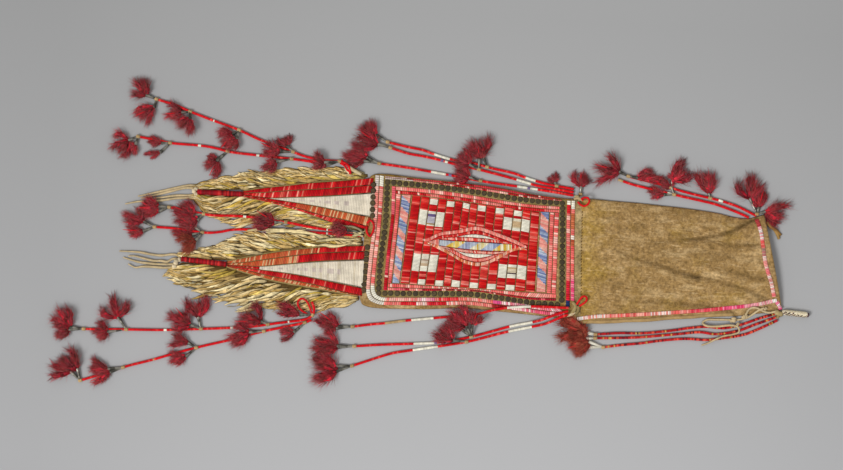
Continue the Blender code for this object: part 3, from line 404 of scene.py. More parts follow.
ROUTES = {
    "upper_tab_pendant_1": [
        (-144.5, 76, ON_FRINGE), (-145, 81, ON_FRINGE), (-148, 86, ON_FRINGE), (-156, 89.8, 1.4),
        (-166, 90, 0), (-180.5, 90.5), (-198, 93), (-213, 97.5), (-229, 102), (-251, 108.5),
        (-276, 118), (-310, 128), (-334, 135.5), (-349, 141), (-370, 146),
    ],
    "upper_tab_pendant_2": [
        (-168, 86.3), (-182.5, 86.6), (-197, 88), (-214, 89), (-254.5, 90.5), (-282.5, 92),
        (-306.5, 96), (-321.5, 97), (-353, 97.5), (-366.5, 99.5), (-388, 102),
    ],
    "middle_pendant_1": [
        (-123.9, 10.6), (-134, 10.6), (-152, 10.4), (-166, 10.6), (-177, 11.4, 1.6),
        (-191.5, 13, ON_FRINGE), (-210.5, 15.5, ON_FRINGE), (-235.5, 17, ON_FRINGE),
        (-256, 19, ON_FRINGE), (-276, 19, ON_FRINGE), (-296, 18, ON_FRINGE), (-309, 18.6, 2.2),
        (-320, 20.3, 0.2), (-332, 22, 0), (-347, 23.5),
    ],
    "middle_pendant_2": [
        (-123.9, 6.3), (-134, 6.3), (-171, 6.4), (-209, 6), (-241.5, 5), (-262, 4.3), (-276, 2.8),
        (-289, -0.5), (-304.5, -2.5), (-342.5, 0), (-362, 0),
    ],
    "lower_tab_pendant_1": [
        (-178, -73, ON_FRINGE), (-175, -81, ON_FRINGE), (-176.5, -88.5, 2.6), (-184, -93.6, 0),
        (-203.5, -98), (-216, -100.5), (-245, -106.5), (-272.5, -110), (-306, -113.5),
        (-347.5, -117.5), (-393, -120), (-416.5, -121.5), (-435, -122.5),
    ],
    "lower_tab_pendant_2": [
        (-177.5, -94.2), (-186, -98.2), (-199.5, -102), (-214, -106), (-228, -110), (-247, -116),
        (-267.5, -123), (-302, -133.5), (-332, -143.5), (-355, -152), (-385.5, -162),
        (-406.5, -170.5), (-435, -181),
    ],
    "upper_corner_pendant_1": [
        (113, 77), (85, 80.2), (74.5, 82), (55.5, 86.6), (44, 90), (16, 94.5), (-5.5, 99),
        (-29, 101), (-50.5, 106), (-63, 109.5), (-81.5, 112), (-101.5, 115.5),
    ],
    "upper_corner_pendant_2": [
        (113, 73.3), (85.5, 76.3), (70.5, 78), (45.5, 83.5), (4, 91.5), (-28.5, 96.6), (-44, 99.8),
        (-62.5, 102.5), (-80, 104.5), (-98, 109),
    ],
    "upper_corner_pendant_3": [
        (113, 69.6), (85.5, 72.4), (48.5, 75.4), (7.5, 78.6), (-22.5, 82.2), (-53, 85.5), (-77, 88),
        (-109.5, 90.5),
    ],
    "lower_corner_pendant_1": [
        (116, -59.5, ON_QUILLS), (74.5, -60.8, ON_QUILLS), (45, -64.5, ON_QUILLS),
        (33, -67.3, ON_QUILLS), (24, -70, ON_QUILLS), (15, -73.2, 5.6), (7, -75.6, 2.4),
        (-1, -77, 0), (-12, -78.4), (-36.5, -82), (-73, -88), (-93.5, -92), (-109, -94.5),
        (-127, -98),
    ],
    "lower_corner_pendant_2": [
        (116, -63.3, ON_QUILLS), (104, -67.2, ON_QUILLS), (95, -71.4, 6.6), (87, -75.2, 5.4),
        (79, -78, 2.2), (70, -80.6, 0.2), (60, -83, 0), (48, -86.6), (6, -101), (-29, -109.5),
        (-61.5, -113.5), (-96, -117), (-123.5, -120.5),
    ],
    "lower_corner_pendant_3": [
        (116, -67.1, ON_QUILLS), (109, -70.2, ON_QUILLS), (102, -74, 6.4), (95, -77.9, 3.8),
        (88, -80.9, 1), (80, -83.2, 0), (46.5, -92.5), (6, -105.8), (-29.5, -114.2), (-61, -121),
        (-82.5, -126), (-98.5, -132), (-124.5, -142.5),
    ],
    "mouth_upper_pendant_1": [
        (324.2, 61), (303, 69.8), (281.5, 75.5), (254.5, 80), (235, 83.7), (218, 88), (199, 91.5),
        (177, 95.5),
    ],
    "mouth_upper_pendant_2": [
        (315.8, 58.4), (303.5, 63), (276, 71), (262.5, 73.3), (235.5, 77.5), (199.5, 83.5),
        (182, 86.5), (163, 91.5),
    ],
    "mouth_lower_pendant_1": [
        (354, -50), (336, -56.5), (316, -65), (296, -70.5), (276.5, -70.2), (257, -73),
        (240.5, -76.6), (223.5, -79.7), (201, -83), (177, -84.5), (152, -87.5),
    ],
    "mouth_lower_pendant_2": [
        (355.5, -53.6), (330.5, -64.5), (314, -72), (287, -78), (269, -77), (246.5, -80.6),
        (223.5, -84.2), (201, -87.6), (177.5, -90), (152, -92),
    ],
    "mouth_lower_pendant_3": [
        (357, -57.2), (336.5, -68.5), (320, -76.2), (292, -82.8), (277.5, -85.3), (252.5, -85.8),
        (224, -90), (202, -94.5), (180, -98), (162, -101.5),
    ],
}
print(len(ROUTES), "pendants")

# %% [markdown]
# A curve object in Blender would smooth the points too, but the solid needs the same curve, so it
# is worked out here by a rule that both can follow. From then on a cord is a list of points.

# %% Helpers for paths
def smooth_path(points):
    """Many points on the smooth curve through a few, by the centripetal Catmull-Rom rule."""
    spots = [Vector(point) for point in points]
    spots = [2 * spots[0] - spots[1], *spots, 2 * spots[-1] - spots[-2]]
    path = []
    for a, b, c, d in zip(spots, spots[1:], spots[2:], spots[3:]):
        t1 = math.sqrt((b - a).length)
        t2 = t1 + math.sqrt((c - b).length)
        t3 = t2 + math.sqrt((d - c).length)
        for step in range(PATH_STEPS):
            t = t1 + (t2 - t1) * step / PATH_STEPS
            ab = a.lerp(b, t / t1)
            bc = b.lerp(c, (t - t1) / (t2 - t1))
            cd = c.lerp(d, (t - t2) / (t3 - t2))
            abc = ab.lerp(bc, t / t2)
            bcd = bc.lerp(cd, (t - t1) / (t3 - t1))
            path.append(abc.lerp(bcd, (t - t1) / (t2 - t1)))
    path.append(spots[-2])
    return path


def path_length(path):
    return sum((there - here).length for here, there in zip(path, path[1:]))


def along(path, distance):
    """The point at a distance from the path's start, and the path's direction there."""
    for here, there in zip(path, path[1:]):
        step = (there - here).length
        if distance <= step:
            return here.lerp(there, max(0.0, distance) / step), (there - here).normalized()
        distance -= step
    return path[-1], (path[-1] - path[-2]).normalized()


def evenly(path, step):
    """Points about a step apart along a path."""
    length = path_length(path)
    count = max(2, round(length / step))
    made, run, here = [path[0]], 0.0, 0
    for i in range(1, count):
        while run + (path[here + 1] - path[here]).length < length * i / count:
            run += (path[here + 1] - path[here]).length
            here += 1
        left = length * i / count - run
        made.append(path[here].lerp(path[here + 1], left / (path[here + 1] - path[here]).length))
    return [*made, path[-1]]


def lying_path(route, diameter):
    """The middle line of a cord, on the ground or as high as each point's third number says."""
    lowest = CLEAR + diameter / 2
    path = smooth_path([(x, y, (under[0] if under else 0) + lowest) for x, y, *under in route])
    for spot in path:
        spot.z = max(spot.z, lowest)
    return path


PATHS = {name: lying_path(route, STRAND) for name, route in ROUTES.items()}
print("pendants, mm:", {name: round(path_length(path)) for name, path in PATHS.items()})

# %% [markdown]
# The wrapping shows as a fine ripple, one ridge for each turn of quill. It could be a bump, but
# the outline would stay smooth, so the tube itself gets a crest and a groove for each turn. A
# turn is about 1.7 mm wide.

# %% Helpers for tubes
TURN = 1.7  # width of one turn of quill
TURN_GROOVE = 0.86  # radius in the groove between two turns
TURN_UNEVEN = 0.03  # how much one turn is thicker or thinner than the next
THONG_SIDES = 9
def heading_at(path, i):
    """The direction of a path at one of its points."""
    return (path[min(i + 1, len(path) - 1)] - path[max(i - 1, 0)]).normalized()


def to_side(way):
    """Level, and square to a direction."""
    return Vector((-way.y, way.x, 0))


def cross_section(middle, way, radius, sides, flat=1.0, turn=0.0):
    """Points round a middle, square to a direction, flattened in height."""
    side = to_side(way).normalized()
    up = way.cross(side) * (-1 if way.cross(side).z < 0 else 1)
    ring = []
    for i in range(sides):
        angle = math.tau * i / sides + turn
        ring.append(middle + side * math.cos(angle) * radius + up * math.sin(angle) * radius * flat)
    return ring


def wrap(work, path, diameter, colour_at, dice, turn=TURN):
    """A thong wrapped with quills: a crest and a groove for each turn."""
    spots = evenly(path, turn / 2)
    rings, dyes = [], []
    for i, spot in enumerate(spots):
        way = heading_at(spots, i)
        radius = diameter / 2 * (
            TURN_GROOVE if i % 2 else 1 + dice.uniform(-TURN_UNEVEN, TURN_UNEVEN)
        )
        rings.append(cross_section(spot, way, radius, THONG_SIDES))
        if i % 2 == 0:
            dye = colour_at(i * turn / 2, dice)
        if i:
            dyes.append(dye)
    work.loft(rings, dyes)


level = cross_section(Vector((0, 0, 0)), Vector((1, 0, 0)), STRAND / 2, THONG_SIDES)
print("a thong has", len(level), "points round, the highest at", round(max(p.z for p in level), 2))

# %% [markdown]
# Most turns are red, some a little paler. Here and there the maker changed to white or purple
# quills, and a few stretches are left as bare thong. The pendants at the mouth are darker.

# %% Wrapped thongs
RED, PALE_RED, WHITE, PURPLE, TAN = "D4121B", "E8473F", "E9E3CF", "7C6A93", "B99A6B"
PALE_SHARE = 0.12  # of the red turns
# The dark pendants at the mouth: how many of their turns are up to each of these dyes.
DARK_TURNS = ((0.07, "C79A4A"), (0.3, "D8503A"), (0.45, "7A1620"), (1, "BC2226"))
# Where other quills begin and end on a pendant, from the bag.
BANDS = {
    "upper_tab_pendant_1": [(173.5, 176.5, WHITE)],
    "upper_tab_pendant_2": [(83, 86, WHITE), (150.5, 153.5, WHITE)],
    "middle_pendant_1": [(136.5, 139.5, WHITE), (41, 44, WHITE)],
    "middle_pendant_2": [(41, 44, WHITE)],
    "lower_tab_pendant_1": [(44.5, 47.5, WHITE), (110.5, 113.5, WHITE), (186.5, 189.5, WHITE)],
    "lower_tab_pendant_2": [(185.5, 188.5, TAN)],
    "upper_corner_pendant_1": [(45, 57, WHITE), (147, 165, WHITE)],
    "upper_corner_pendant_2": [(50, 67, WHITE), (148.5, 152, WHITE), (154.5, 158, PURPLE)],
    "upper_corner_pendant_3": [
        (41, 50, WHITE), (50, 53, PURPLE), (53, 65, WHITE), (142, 145.5, PURPLE), (148, 165, WHITE),
    ],
    "lower_corner_pendant_1": [(44, 70, WHITE), (157, 183, WHITE), (190, 214, TAN)],
    "lower_corner_pendant_2": [(43, 71, WHITE), (155.5, 158.5, PURPLE), (159, 183, WHITE)],
    "lower_corner_pendant_3": [(45, 72, WHITE), (156, 184, WHITE)],
    "mouth_upper_pendant_1": [(42, 46.5, WHITE)],
    "mouth_upper_pendant_2": [(92.5, 97, WHITE), (151, 158, TAN)],
}


def pendant_colour(name):
    """The quill colour at a distance along a pendant."""
    dark = name.startswith("mouth_lower")

    def colour_at(distance, dice):
        for start, end, code in BANDS.get(name, ()):
            if start <= distance <= end:
                return varied(code, dice)
        pick = dice.random()
        if dark:
            return varied(next(code for limit, code in DARK_TURNS if pick < limit), dice, 0.2)
        return varied(PALE_RED if pick < PALE_SHARE else RED, dice, 0.16)

    return colour_at


dice = random.Random(11)
STRANDS = {}
for name, path in PATHS.items():
    work = Work()
    wrap(work, path, STRAND, pendant_colour(name), dice)
    STRANDS[name] = work.finish(name.replace("pendant", "wrapped_thong"), QUILL, "red_quill")
    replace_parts(STRANDS[name], name)
print(len(STRANDS), "wrapped thongs")

# %% [markdown]
# Each tassel starts at a knot of bare thong on the pendant. From it a short thong runs into a
# cone of rolled tin, and a pinch of hair is caught in the cone and spreads out of its mouth. No
# two lie alike, so a table says where each one lies, and functions make its parts.

# %% Places of the tassels
# The knots by their distance along the pendant. For each cone: its heading, how far its mouth is
# from the knot, then the heading, length and width of its hair, the height of what the hair lies
# on, and "rust" where the hair is brown.
TASSELS = {
    "upper_tab_pendant_1": {
        22: [(189, 18, 163, 21, 22, OVER_STRAND), (200, 16, 185, 14, 12, OVER_STRAND)],
        77: [(140, 10, 127, 16, 18, 0), (184, 15, 168, 28, 24, OVER_STRAND)],
        144: [(216, 9, 214, 24, 25, 0), (260, 11, 232, 16, 19, OVER_STRAND)],
        204: [(192, 10, 181, 21, 24, 0), (274, 9, 240, 24, 28, OVER_STRAND)],
        "end": [(162, 13, 135, 23, 28, 0), (258, 10, 222, 26, 28, 0)],
    },
    "upper_tab_pendant_2": {
        45: [(196, 18, 211, 20, 18, ON_FRINGE)],
        119: [(222, 16, 170, 16, 11, 0), (226, 17, 238, 22, 24, 0)],
        186: [(184, 10, 177, 17, 14, 0), (228, 16, 195, 20, 11, 0)],
        "end": [(206, 12, 213, 26, 26, 0), (257, 10, 222, 15, 17, 0)],
    },
    "middle_pendant_1": {
        3: [(177, 17, 180, 24, 16, ON_FRINGE)],
        91: [(184, 13, 174, 28, 30, ON_FRINGE)],
        186: [(189, 12, 159, 29, 28, 1.2), (228, 10, 184, 32, 22, 1)],
        "end": [(179, 12, 182, 28, 25, 2.4), (209, 13, 170, 26, 20, 2.4)],
    },
    "middle_pendant_2": {
        186: [
            (150, 12, 160, 22, 18, 0), (196, 12, 178, 27, 20, 0),
            (235, 12, 218, 32, 26, ON_FRINGE, "rust"),
        ],
        "end": [(157, 14, 164, 27, 26, 0), (205, 14, 188, 27, 17, 0)],
    },
    "lower_tab_pendant_1": {
        16: [(184, 15, 170, 34, 22, ON_FRINGE)],
        70: [(157, 9, 167, 35, 30, 0)],
        147: [(163, 14, 156, 29, 30, 0), (106, 14, 104, 29, 30, 0)],
        233: [(127, 17, 113, 27, 32, 0), (191, 22, 191, 18, 25, 0)],
        "end": [(176, 16, 144, 28, 30, 0), (186, 17, 201, 29, 21, 0)],
    },
    "lower_tab_pendant_2": {
        8: [(225, 17, 188, 24, 18, 0)],
        56: [(187, 17, 201, 29, 28, 0)],
        136: [(152, 11, 173, 28, 24, 0), (224, 16, 189, 31, 20, 0)],
        223: [(190, 18, 172, 29, 21, 0), (203, 16, 205, 29, 24, 0)],
        "end": [(141, 15, 158, 28, 30, 0), (107, 14, 132, 29, 32, 0)],
    },
    "upper_corner_pendant_1": {
        20: [(121, 5, 107, 12, 13, 0)],
        103: [(114, 15, 126, 26, 34, 0)],
        "end": [(152, 16, 142, 26, 27, 0)],
    },
    "upper_corner_pendant_2": {
        112: [(157, 13, 136, 23, 25, OVER_STRAND), (94, 13, 99, 15, 19, OVER_STRAND)],
        "end": [(168, 15, 170, 29, 28, 0)],
    },
    "upper_corner_pendant_3": {
        108: [(166, 14, 151, 24, 27, 0)],
        "end": [(157, 16, 169, 28, 28, 0), (174, 18, 167, 23, 21, 0)],
    },
    "lower_corner_pendant_1": {"end": [(183, 17, 168, 33, 23, 0), (190, 19, 184, 26, 14, 0)]},
    "lower_corner_pendant_2": {
        116: [
            (90, 15, 85, 16, 20, 7.6), (118, 14, 136, 30, 27, OVER_STRAND),
            (146, 14, 152, 27, 22, OVER_STRAND),
        ],
        "end": [(182, 20, 172, 36, 27, 0), (187, 19, 188, 36, 25, 0)],
    },
    "lower_corner_pendant_3": {
        122: [(176, 16, 161, 32, 28, OVER_STRAND)],
        "end": [(184, 20, 164, 30, 28, 0), (203, 19, 184, 34, 38, 0)],
    },
    "mouth_upper_pendant_1": {
        57: [(108, 6, 112, 33, 32, 0)],
        104: [(80, 9, 54, 29, 29, 0)],
        "end": [(157, 12, 172, 34, 34, 0), (354, 11, 6, 38, 21, 0)],
    },
    "mouth_upper_pendant_2": {90: [(114, 9, 140, 16, 19, 0), (183, 12, 172, 21, 17, 0)]},
    "mouth_lower_pendant_1": {"end": [(172, 11, 170, 26, 24, 0), (178, 12, 174, 40, 38, 0)]},
    "mouth_lower_pendant_2": {"end": [(187, 13, 150, 24, 26, 0)]},
    "mouth_lower_pendant_3": {"end": [(163, 18, 200, 30, 28, 0), (184, 18, 186, 28, 24, 0)]},
}
CORNER_TASSELS = {
    "upper_corner_tassel": ((121, 71.5), [(89, 9, 89, 20, 25, 0)]),
    "mouth_corner_tassel": (
        (325, 63), [(20, 10, 4, 34, 33, 0), (80, 8, 92, 24, 22, 0), (118, 20, 96, 30, 33, 0)],
    ),
}
print(sum(len(knot) for knots in TASSELS.values() for knot in knots.values()), "cones on pendants")

# %% [markdown]
# A cone is a small sheet of tin bent round until its edges lap. It could be a plain cone, but the
# lapped edge and the hollow mouth catch the light, so it is lofted from rings that go down the
# outside and back up the inside, with a step in each ring where the sheet overlaps.

# %% Cones
CONE_LENGTH = 17.5
CONE_TOP, CONE_MOUTH = 1.9, 4.2  # diameters
CONE_SHEET = 0.3  # thickness of the tin
CONE_SIDES = 14
SEAM_STEP = 0.12  # how far the overlapped edge stands out, as a share of the radius


def flat_heading(degrees):
    turn = math.radians(degrees)
    return Vector((math.cos(turn), math.sin(turn), 0.0))


def add_cone(work, start, mouth, dice, dye):
    """A sheet rolled into a hollow cone, whose edge laps over itself in a low step."""
    way = (mouth - start).normalized()
    length = min(CONE_LENGTH, (mouth - start).length)
    start = mouth - way * length
    side = to_side(way).normalized()
    up = way.cross(side)
    seam = dice.uniform(0, math.tau)
    profile = [(0, CONE_TOP / 2), (0.5, (CONE_TOP + CONE_MOUTH) / 4), (1, CONE_MOUTH / 2)]
    profile += [(1, CONE_MOUTH / 2 - CONE_SHEET), (0.55, (CONE_TOP + CONE_MOUTH) / 4 - CONE_SHEET)]
    rings = []
    for share, radius in profile:
        ring = []
        for i in range(CONE_SIDES):
            angle = seam + math.tau * i / CONE_SIDES
            lap = 1 + SEAM_STEP * (i / (CONE_SIDES - 1) - 0.5)
            spoke = side * math.cos(angle) + up * math.sin(angle)
            ring.append(start + way * length * share + spoke * radius * lap)
        rings.append(ring)
    work.loft(rings, [dye] * (len(profile) - 1))


print("a cone's sheet is", round(math.pi * CONE_MOUTH, 1), "mm wide at its mouth")

# %% [markdown]
# The hair leaves its cone together and spreads in a few soft plumes that lie over one another.
# Curves with a hair system would be the usual way, but the export wants meshes. So each plume is
# a flat, uneven body with many short hairs round it, each a thin three-sided blade that bends
# once. They are thicker than real hairs, which would not show.

# %% A hair
BARB_WIDE = 0.42  # thickness at the root, where the real hair has 0.1
BARB_FINE = 0.16
BARB_LENGTH = 0.27  # against the tuft's width
TIP_SHARE = 0.62  # how much of the tip's dye a hair has
PLUME_FLAT = 0.5  # height of a plume against its width
ROOT_DYES = ("6E1019", "8E1522", "AC1A2A", "C42032", "560C14")
TIP_DYES = ("A85450", "BC4650", "B8606A", "7A4A40", "8A6258", "B43E48", "6A443A")
RUST_DYES = ("8A3A2C", "9C4A38", "A85C44", "6E2E24", "A8342C")
RED_HAIR, RUST_HAIR = (ROOT_DYES, TIP_DYES), (RUST_DYES, RUST_DYES)


def add_barb(work, spine, width, lowest, shade, dyes, dice):
    """One hair on a plume, from the plume's skin outwards and forwards."""
    t = dice.random() ** 0.75
    here, way, wide = spine(t)
    across = to_side(way).normalized()
    off = dice.uniform(-1, 1)
    rise = PLUME_FLAT * wide * math.sqrt(1 - 0.9 * off * off)
    start = here + across * off * wide + Vector((0, 0, rise * dice.uniform(0.5, 1.6)))
    turn = off * dice.uniform(0.5, 1.3) * (1.05 - 0.5 * t) + dice.gauss(0, 0.2)
    out = way * math.cos(turn) + across * math.sin(turn) + Vector((0, 0, dice.uniform(-0.2, 0.3)))
    length = width * BARB_LENGTH * dice.uniform(0.4, 1.4)
    root = linear(dice.choice(dyes[0]), shade * dice.uniform(0.8, 1.5))
    tip = linear(dice.choice(dyes[1]), dice.uniform(0.8, 1.4))
    curl = start + (out + way * dice.uniform(-0.2, 0.5)).normalized() * length * 0.5
    stop = start + out.normalized() * length + way * length * 0.15
    for spot in (start, curl, stop):
        spot.z = max(lowest + 0.2, spot.z)
    one = cross_section(start, (curl - start).normalized(), BARB_WIDE / 2, 3)
    two = cross_section(curl, (stop - start).normalized(), (BARB_WIDE + BARB_FINE) / 4, 3)
    work.loft([one, two], [blend_colours(root, tip, TIP_SHARE)], tip=stop)


one_hair = Work()
straight = Vector((0, 0, 0)), Vector((1, 0, 0)), 1
add_barb(one_hair, lambda t: straight, 20, 0, 1, RED_HAIR, random.Random(1))
print("a hair has", len(one_hair.faces), "faces")

# %% [markdown]
# A plume is a flat body of hair stuck together, with single hairs standing out all round it. Its
# rings are pulled unevenly, so that no two are alike.

# %% A plume
BARBS = 118  # hairs on a plume
PLUME_JOINTS = 6
PLUME_SIDES = 8


def add_plume(work, spine, width, lowest, shade, dyes, dice):
    """A plume's flat, uneven body, and the hairs round it."""
    rings, colours = [], []
    for joint in range(PLUME_JOINTS + 1):
        here, way, wide = spine(joint / PLUME_JOINTS)
        wide *= 0.45 if joint == PLUME_JOINTS else 1
        ring = cross_section(here, way, wide, PLUME_SIDES, flat=PLUME_FLAT)
        ring = [point + (point - here) * dice.uniform(-0.4, 0.3) for point in ring]
        rings.append([(x, y, max(lowest, z)) for x, y, z in ring])
        if joint:
            tones = [(dice.choice(dyes[0]), dice.uniform(0.6, 1.1)) for _ in ring]
            colours.append([linear(code, shade * tone) for code, tone in tones])
    work.loft(rings, colours)
    for _ in range(BARBS):
        add_barb(work, spine, width, lowest, shade, dyes, dice)


print("a plume has", BARBS, "hairs")

# %% [markdown]
# The plumes of a tuft leave the cone side by side and fan out. Each follows a curve that rises
# from the cone's mouth and sinks again to what it lies on. Some tufts show one thick bright
# strand.

# %% Tufts
LOBES = 4  # plumes in a tuft
LOBE_SPREAD = 1.7  # between the outer two, against half the tuft's width
PLUME_RISE = 0.26  # height of a tuft against its width
PLUME_WIDE = 0.11  # half a plume's width against the tuft's
HAIR_LIFT = 0.25  # of the lowest hairs over what they lie on
SHAFT_ODDS = 0.4  # how many tufts show a thicker bright strand
SHAFT = 0.9
SHAFT_DYE = "D01824"


def bend(start, middle, end, t):
    """A point on the curve from start to end that leans towards the middle."""
    return start.lerp(middle, t).lerp(middle.lerp(end, t), t)


def add_tuft(work, mouth, heading, length, width, under, dice, dyes=RED_HAIR):
    """Hair that leaves the cone together and spreads in a few plumes."""
    side = to_side(heading)
    lowest = under + HAIR_LIFT
    for lobe in range(LOBES):
        lean = (lobe / (LOBES - 1) - 0.5) * LOBE_SPREAD + dice.uniform(-0.35, 0.35)
        reach = length * (1 - 0.25 * abs(lean)) * dice.uniform(0.6, 1.1)
        height = width * PLUME_RISE * dice.uniform(0.5, 1.0)
        end = mouth + heading * reach * 0.84 + side * lean * width * 0.4
        end.z = lowest + height * dice.uniform(0.2, 0.6)
        middle = mouth + heading * reach * 0.45 + side * lean * width * dice.uniform(0.1, 0.6)
        middle.z = lowest + height * 1.2

        def spine(t):
            """A plume's middle, its direction and its half width at a share of its length."""
            here, ahead = bend(mouth, middle, end, t), bend(mouth, middle, end, t + 0.08)
            belly = 0.25 + 0.85 * math.sin(math.pi * min(1.0, t * 0.8 + 0.06))
            return here, (ahead - here).normalized(), width * PLUME_WIDE * belly

        add_plume(work, spine, width, lowest, dice.uniform(0.65, 1.8), dyes, dice)
    if dice.random() < SHAFT_ODDS:
        way = (heading + side * dice.uniform(-0.5, 0.5)).normalized()
        top = Vector((0, 0, width * PLUME_RISE * 1.1))
        ends = [mouth + way * length * t + top * t for t in (0.25, 0.5, 0.85)]
        rings = [
            cross_section(spot, way, SHAFT * wide, 6) for spot, wide in zip(ends, (0.6, 0.7, 0.3))
        ]
        work.loft(rings, [linear(SHAFT_DYE)] * 2)


print("a tuft has", LOBES * BARBS, "hairs")

# %% [markdown]
# Knots are two turns of bare thong pulled tight. A true knot would be hidden in itself, so each
# is a short thick roll with a waist between its turns.

# %% Knots
KNOT = 4.6  # length and width
KNOT_WAIST = (0.5, 0.85, 0.95, 0.72, 0.98, 0.86, 0.5)  # its radius along its length


def add_knot(work, spot, way, size, dice, code=TAN):
    """Two turns of bare thong pulled tight round another."""
    spot = Vector((spot.x, spot.y, max(spot.z, size / 2 + CLEAR)))
    rings, dyes = [], []
    for i, wide in enumerate(KNOT_WAIST):
        middle = spot + way * size * (i / (len(KNOT_WAIST) - 1) - 0.5)
        rings.append(cross_section(middle, way, size / 2 * wide, 10, turn=dice.uniform(-0.1, 0.1)))
        if i:
            dyes.append(varied(code, dice, 0.15))
    work.loft(rings, dyes)


print("a knot is", KNOT, "mm long and", round(min(KNOT_WAIST[1:-1]) * KNOT, 1), "mm at its waist")

# %% [markdown]
# Now every tassel can be put together: the knot on its thong, and from it the stems, the cones
# and the hair. Each pendant's knots, cones and hair are three pieces.

# %% Tassels
STEM_TOP, STEM_FOOT = 0.7, 0.6  # radii of the thong between a knot and a cone
STEM_DYE = "5E5A50"


def add_tassels(knot_spot, tassels, pieces, dice, cone_dye, hair=RED_HAIR):
    """The stems, cones and tufts of one knot, added to its pendant's pieces."""
    knots, cones, tufts = pieces
    for cone_heading, reach, tuft_heading, length, width, under, *rust in tassels:
        mouth = knot_spot + flat_heading(cone_heading) * reach
        mouth.z = under + GAP + CONE_MOUTH / 2
        way = (mouth - knot_spot).normalized()
        narrow = mouth - way * min(CONE_LENGTH, (mouth - knot_spot).length)
        if (narrow - knot_spot).length > 1:
            end = narrow + way
            stem_way = (end - knot_spot).normalized()
            knots.loft([
                cross_section(knot_spot, stem_way, STEM_TOP, 6),
                cross_section(end, stem_way, STEM_FOOT, 6),
            ], [varied(STEM_DYE, dice)])
        add_cone(cones, narrow, mouth, dice, cone_dye)
        fan = flat_heading(tuft_heading)
        dyes = RUST_HAIR if rust else hair
        add_tuft(tufts, mouth - way, fan, length + 1.0, width, under, dice, dyes)


DARK_TIN, WHITE_QUILL_CONE = linear("45423B"), linear("DAD4C2")
dice = random.Random(23)
for name, path in PATHS.items():
    knots, cones, tufts = Work(), Work(), Work()
    low = name.startswith("mouth_lower")
    cone_dye, hair = (WHITE_QUILL_CONE, RUST_HAIR) if low else (DARK_TIN, RED_HAIR)
    for place, tassels in TASSELS.get(name, {}).items():
        if place == "end":
            end, way = path[-1], (path[-1] - path[-2]).normalized()
            spot = end + way * (KNOT / 2 + GAP)
            spot.z = KNOT / 2 + CLEAR
        else:
            spot, way = along(path, place)
            spot.z = max(spot.z, KNOT / 2 + CLEAR)
        add_knot(knots, spot, way, KNOT, dice)
        add_tassels(spot, tassels, (knots, cones, tufts), dice, cone_dye, hair)
    cone = QUILL if low else TIN
    pieces = [
        knots.finish(name.replace("pendant", "knots"), CUT_HIDE, "fringe_hide"),
        cones.finish(name.replace("pendant", "cones"), cone, "dark_brass", smooth=low),
        tufts.finish(name.replace("pendant", "hair"), HAIR, "dyed_hair"),
    ]
    tassel = name.replace("pendant", "tassel")
    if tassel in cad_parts:
        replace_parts(pieces[2], tassel)
    spots = evenly(path, 4.0)
    path_length(spots) * MM

for name, ((x, y), tassels) in CORNER_TASSELS.items():
    knots, cones, tufts = Work(), Work(), Work()
    spot = Vector((x, y, KNOT / 2 + CLEAR))
    add_knot(knots, spot, flat_heading(0), KNOT, dice)
    add_tassels(spot, tassels, (knots, cones, tufts), dice, DARK_TIN)
    knots.finish(name + "_knots", CUT_HIDE, "fringe_hide")
    cones.finish(name + "_cones", TIN, "dark_brass", smooth=False)
    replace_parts(tufts.finish(name + "_hair", HAIR, "dyed_hair"), name)
print("tassels on", len(PATHS), "pendants and at", len(CORNER_TASSELS), "corners")

# %% [markdown]
# The bag itself is one long envelope of smoked hide. Empty, its plain end lies in soft folds, a
# little open at the mouth. Cloth simulation could make folds, but not these ones, so each is a
# valley pressed into the upper wall along a line from the photograph, with a swell beside it. How
# much darker the hide is drawn along each fold is worked out with it.

# %% The hide's sizes and folds
HIDE = 1.6  # thickness of one wall
SEAM = 4.0  # sewn margin round the inside
PANEL_HEIGHT = 5.2  # both walls, under the quillwork
POUCH_HEIGHT = 10.4  # the plain part stands a little open
HEM_HEIGHT = 3.6  # both walls beside the side seams of the pouch
POUCH_ROUNDING = 0.55  # below 1 gives a flat top with rounded sides
POUCH_START = 126.0  # where the quilled panel ends
POUCH_SWELL = 45.0  # length over which the pouch rises to its full height
# Upper and lower edge of the hide, in pairs from the tab end to the mouth.
SIDES = [
    ((-123.5, 70), (-123.5, -66)), ((-119, 77), (-119, -73)), ((-60, 77), (-60, -73.5)),
    ((0, 74.5), (0, -68.5)), ((40, 71.5), (40, -69.5)), ((72, 67.3), (72, -70.6)),
    ((112, 65.5), (112, -72.5)), ((130, 67), (130, -74.5)), ((158, 66.5), (160, -72.5)),
    ((190, 66), (192, -70)), ((215, 65), (219, -66)), ((240, 64), (246, -63)),
    ((262, 62.5), (271, -60)), ((282, 60.5), (293, -57.5)), ((299, 57.5), (314, -55)),
    ((315, 57), (335, -51)), ((325, 60), (349, -49)), ((333, 63), (361, -45)),
]
